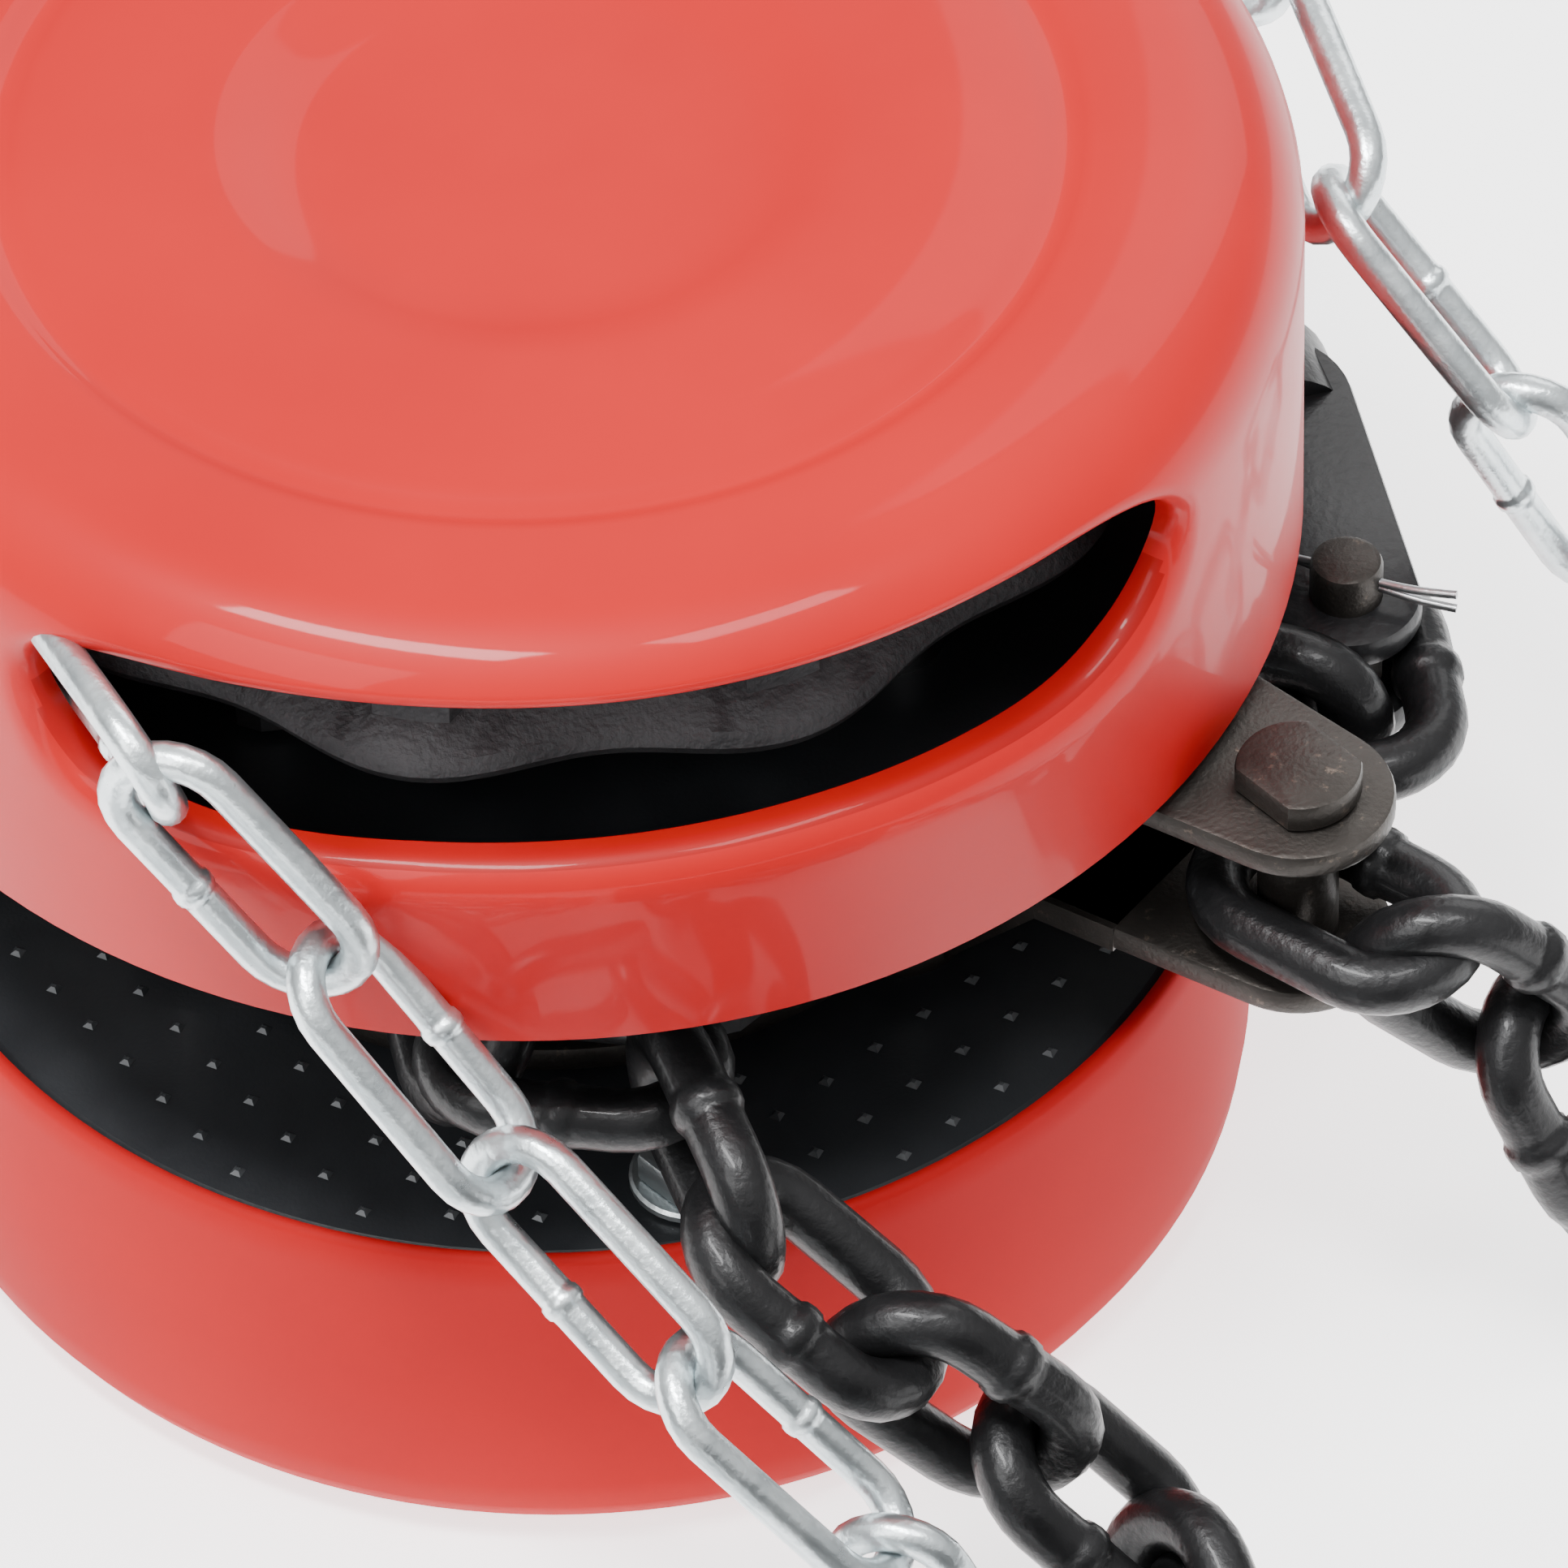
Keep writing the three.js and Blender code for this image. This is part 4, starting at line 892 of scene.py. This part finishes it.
end_at = Vector((*on_circle(ANCHOR_REACH, ANCHOR_HEADING, ANCHOR), ANCHOR_LEVEL))
level_link("end-link", "anchor_end_link", end_at, ANCHOR_HEADING)
for i, heading in enumerate(LIVE_HEADINGS, 1):
    low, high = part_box("live_link_%d" % i)
    centre = (low + high) / 2 / MM
    level_link("live-link-%d" % i, "live_link_%d" % i, centre, heading, 90 if i == 2 else 0)

# ---- Hand wheel ----------------------------------------------------------------------------------
LOBES = 10
LOBE_START = 0.35  # of a lobe, at degrees 0
BLOCK_FROM, BLOCK_TO = 0.36, 0.64  # of a lobe


def wheel_row(radius, wave, z, block=0.0, samples=240):
    """A ring of points, wavy by "wave" and standing out by "block" in the middle of each lobe."""
    row = []
    for k in range(samples):
        angle = 2 * math.pi * k / samples
        phase = (k * LOBES / samples + LOBE_START) % 1
        lump = block if BLOCK_FROM < phase < BLOCK_TO else 0.0
        r = radius + wave * math.cos(2 * math.pi * (phase - 0.5)) + lump
        row.append((r * math.cos(angle), r * math.sin(angle), z))
    return row


wheel = Build()
wheel.add(*rings([
    wheel_row(8, 0, 93.4), wheel_row(44, 0, 93.4), wheel_row(54, 1.4, 93.8),
    wheel_row(56.4, 1.9, 94.6), wheel_row(57, 1.9, 95.8), wheel_row(56.2, 1.9, 97.2),
    wheel_row(51.5, 0.8, 99, 2.6), wheel_row(49.5, 0, 101.5, 5), wheel_row(49, 0, 105, 6),
    wheel_row(49.5, 0, 108, 5), wheel_row(51.5, 0.8, 110.6, 2.6), wheel_row(56.2, 1.9, 112),
    wheel_row(56.6, 1.9, 113), wheel_row(54, 1.4, 113.9), wheel_row(30, 0, 113.9),
    wheel_row(24, 0, 112.2), wheel_row(8, 0, 112.1),
]))
hand_wheel = finish(wheel.piece("hand-wheel", "hand_wheel", crease=40), "cast_black")
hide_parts("hand_wheel")


# ---- Hooks, yokes and their small pieces ---------------------------------------------------------
HOOK_LEVEL = 55.4  # height of both hooks and of the sheave's middle
BOTTOM_PIN = (75, -4)
FOLD = 105  # degrees from +X to the way that the lower yoke points
LATCH_PIVOT = (50, 9.5)  # (x, z) in the hook's own frame
COLLAR = ((26.7, 10.2), (27.6, 10.2), (36.6, 10.2), (37.5, 9.4))  # (x, radius) round the shank
COTTER_Z, COTTER_TURN = 9.4, -42  # height on its pin, and degrees from straight across the yoke


def hook_shape():
    """A hook with its shank along X, from the fork outwards."""
    bow = smooth_line([
        (8, 0, 0), (30, 0, 0), (42, 0, 0), (51, 0, -5), (59, 0, -15), (72, 0, -21), (86, 0, -17),
        (94, 0, -3), (90, 0, 12), (78, 0, 20), (66, 0, 21.5)], 3)
    radii = []
    for p in bow:
        along = min(1.0, max(0.0, (p.x - 30) / 14))
        radii.append(5 + 1.2 * along)
    tip = len(bow)
    for i in range(tip):
        radii[i] *= min(1.0, 0.55 + 0.45 * (tip - 1 - i) / 4)
    build = Build().add(*tube(bow, radii, 20))
    lug = bar((44, 3), 5, LATCH_PIVOT, 3.6, 8)
    build.add(*rings([[(x, y, z) for x, z in lug] for y in (-2.6, 2.6)]))
    return build


def latch_shape():
    """The tongue across the hook's mouth, its two ears and its rivet."""
    build = Build()
    build.add(*rings([
        [(54.2, -5, z), (69, -3.2, z), (69, 3.2, z), (54.2, 5, z)] for z in (8.7, 10.3)
    ]))
    ear = bar(LATCH_PIVOT, 3.4, (55.5, 9.5), 2.2, 8)
    for y0, y1 in ((3.0, 4.4), (-4.4, -3.0)):
        build.add(*rings([[(x, y, z) for x, z in ear] for y in (y0, y1)]))
    x, z = LATCH_PIVOT
    build.add(*tube([(x, -5.2, z), (x, 5.2, z)], 1.6, 16))
    return build


def placed(build, place):
    """Moves what has been built so far."""
    build.points = [tuple(place @ Vector(p)) for p in build.points]
    return build


TOP = Matrix.Translation((*TOP_PIN, HOOK_LEVEL)) @ Matrix.Rotation(math.pi, 4, "Z")
BOTTOM = Matrix.Translation((*BOTTOM_PIN, HOOK_LEVEL))
BOTTOM = BOTTOM @ Matrix.Rotation(math.radians(FOLD), 4, "Z")
OUT = Matrix.Translation((10, 0, 0))  # the lower yoke's pin is further from its hook
for side, place in (("top", TOP), ("bottom", BOTTOM @ OUT)):
    piece = placed(hook_shape(), place).piece(side + "-hook", side + "_hook", crease=60)
    finish(piece, "black_hook")
    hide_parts(side + "_hook")
    piece = placed(latch_shape(), place).piece(side + "-latch", side + "_latch")
    finish(piece, "zinc")
    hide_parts(side + "_latch")
    nut = Build().add(*rings([
        [(x, 7.2 * math.sin(math.radians(60 * k)), 7.2 * math.cos(math.radians(60 * k)))
         for k in range(6)] for x in (11.2, 16.2)]))
    piece = placed(nut, place).piece(side + "-hook-nut", side + "_hook")
    finish(piece, "bright_steel")
    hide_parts(side + "_hook_nut")

cheeks = Build()
for z0, z1 in ((-7, -3.6), (3.6, 7)):
    cheeks.add(*slab(bar((0, 0), 7.2, (28, 0), 9.5), z0, z1, 0.9))
cheeks.add(*rings([
    [(x, radius * math.cos(math.radians(10 * k)), radius * math.sin(math.radians(10 * k)))
     for k in range(36)]
    for x, radius in COLLAR]))
yoke = finish(placed(cheeks, BOTTOM).piece("lower-yoke", "bottom_yoke", crease=40), "black_hook")
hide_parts("bottom_yoke")

wire = Build()
for lift, bend in ((0.5, 0.5), (-0.5, -0.3)):
    leg = smooth_line([
        (0, 5.6, COTTER_Z), (0, 2, COTTER_Z + lift * 0.7), (0, -4, COTTER_Z + lift * 0.7),
        (0.2, -7.5, COTTER_Z + lift + bend * 0.3), (0.8, -11, COTTER_Z + lift + bend)], 1)
    wire.add(*tube(leg, 0.42, 10))
eye = [
    (0, 7.2 + 1.9 * math.cos(math.radians(15 * k)), COTTER_Z + 1.6 * math.sin(math.radians(15 * k)))
    for k in range(24)
]
wire.add(*tube(eye, 0.5, 10, closed=True))
TURN = Matrix.Rotation(math.radians(COTTER_TURN), 4, "Z")
cotter = finish(placed(wire, BOTTOM @ TURN).piece("cotter", "bottom_yoke", crease=60),
                "bright_steel")
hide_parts("bottom_cotter")

lower_pin = Build()
lower_pin.add(*turned(rounded(3.5, -7.8, 11.5, 0.8), 28))
lower_pin.add(*turned(rounded(5, -9.6, -7.1, 0.7), 28))
piece = placed(lower_pin, BOTTOM).piece("lower-chain-pin", "bottom_yoke")
finish(piece, "dark_steel")
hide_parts("bottom_chain_pin")
upper_pin = Build().add(*turned(rounded(4.5, 40.3, 74, 0.5), 28, TOP_PIN))
upper_pin.add(*turned(rounded(6.5, 73.3, 74.8, 0.5), 32, TOP_PIN))
piece = finish(upper_pin.piece("upper-hook-pin"), "bright_steel")
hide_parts("top_hook_pin")

# ---- Floor and light -----------------------------------------------------------------------------
WHITE = (1, 1, 1, 1)
FLOOR_HALF = 6  # metres
FLOOR_GREY = (0.92, 0.92, 0.92, 1)
FLOOR_GLOW = 2.0
SKY_LOW, SKY_HIGH = 0.26, 1.15  # the sky's brightness, low down and overhead
corners = [(x * FLOOR_HALF, y * FLOOR_HALF, 0) for x, y in ((-1, -1), (1, -1), (1, 1), (-1, 1))]
floor_mesh = bpy.data.meshes.new("floor")
floor_mesh.from_pydata(corners, [], [(0, 1, 2, 3)])
floor = bpy.data.objects.new("floor", floor_mesh)
bpy.context.scene.collection.objects.link(floor)
pale = bpy.data.materials.new("floor")
pale.use_nodes = True
surface = pale.node_tree.nodes["Principled BSDF"].inputs
surface["Base Color"].default_value = FLOOR_GREY
surface["Roughness"].default_value = 0.9
surface["Emission Color"].default_value = WHITE
surface["Emission Strength"].default_value = FLOOR_GLOW
floor.data.materials.append(pale)

world = bpy.data.worlds.new("studio")
bpy.context.scene.world = world
world.use_nodes = True
sky, wires = world.node_tree.nodes, world.node_tree.links
direction = sky.new("ShaderNodeTexCoord")
split = sky.new("ShaderNodeSeparateXYZ")
wires.new(direction.outputs["Generated"], split.inputs["Vector"])
rise = sky.new("ShaderNodeMapRange")
rise.interpolation_type = "SMOOTHSTEP"
rise.inputs["From Min"].default_value = 0.05
rise.inputs["From Max"].default_value = 0.75
rise.inputs["To Min"].default_value = SKY_LOW
rise.inputs["To Max"].default_value = SKY_HIGH
wires.new(split.outputs["Z"], rise.inputs["Value"])
wires.new(rise.outputs["Result"], sky["Background"].inputs["Strength"])
sky["Background"].inputs["Color"].default_value = WHITE


def lamp(name, place, target, size, power, size_y=None):
    """A square area lamp, or an oblong one where size_y is given."""
    data = bpy.data.lights.new(name, "AREA")
    data.energy = power
    data.size = size
    if size_y:
        data.shape = "RECTANGLE"
        data.size_y = size_y
    made = bpy.data.objects.new(name, data)
    bpy.context.scene.collection.objects.link(made)
    made.location = place
    made.rotation_mode = "QUATERNION"
    made.rotation_quaternion = (Vector(target) - Vector(place)).to_track_quat("-Z", "Y")


lamp("strip", (-0.24, -0.29, 1.08), (0, -0.02, 0.1), 0.52, 16.0, 0.15)
lamp("second strip", (0.31, -0.29, 1.08), (0, -0.02, 0.1), 0.34, 4.0, 0.15)
lamp("front", (-0.9, -1.1, 1.2), (0, 0, 0.05), 0.8, 12.0)
lamp("back", (0.6, 1.1, 1.0), (0, 0, 0.1), 0.9, 8.0)
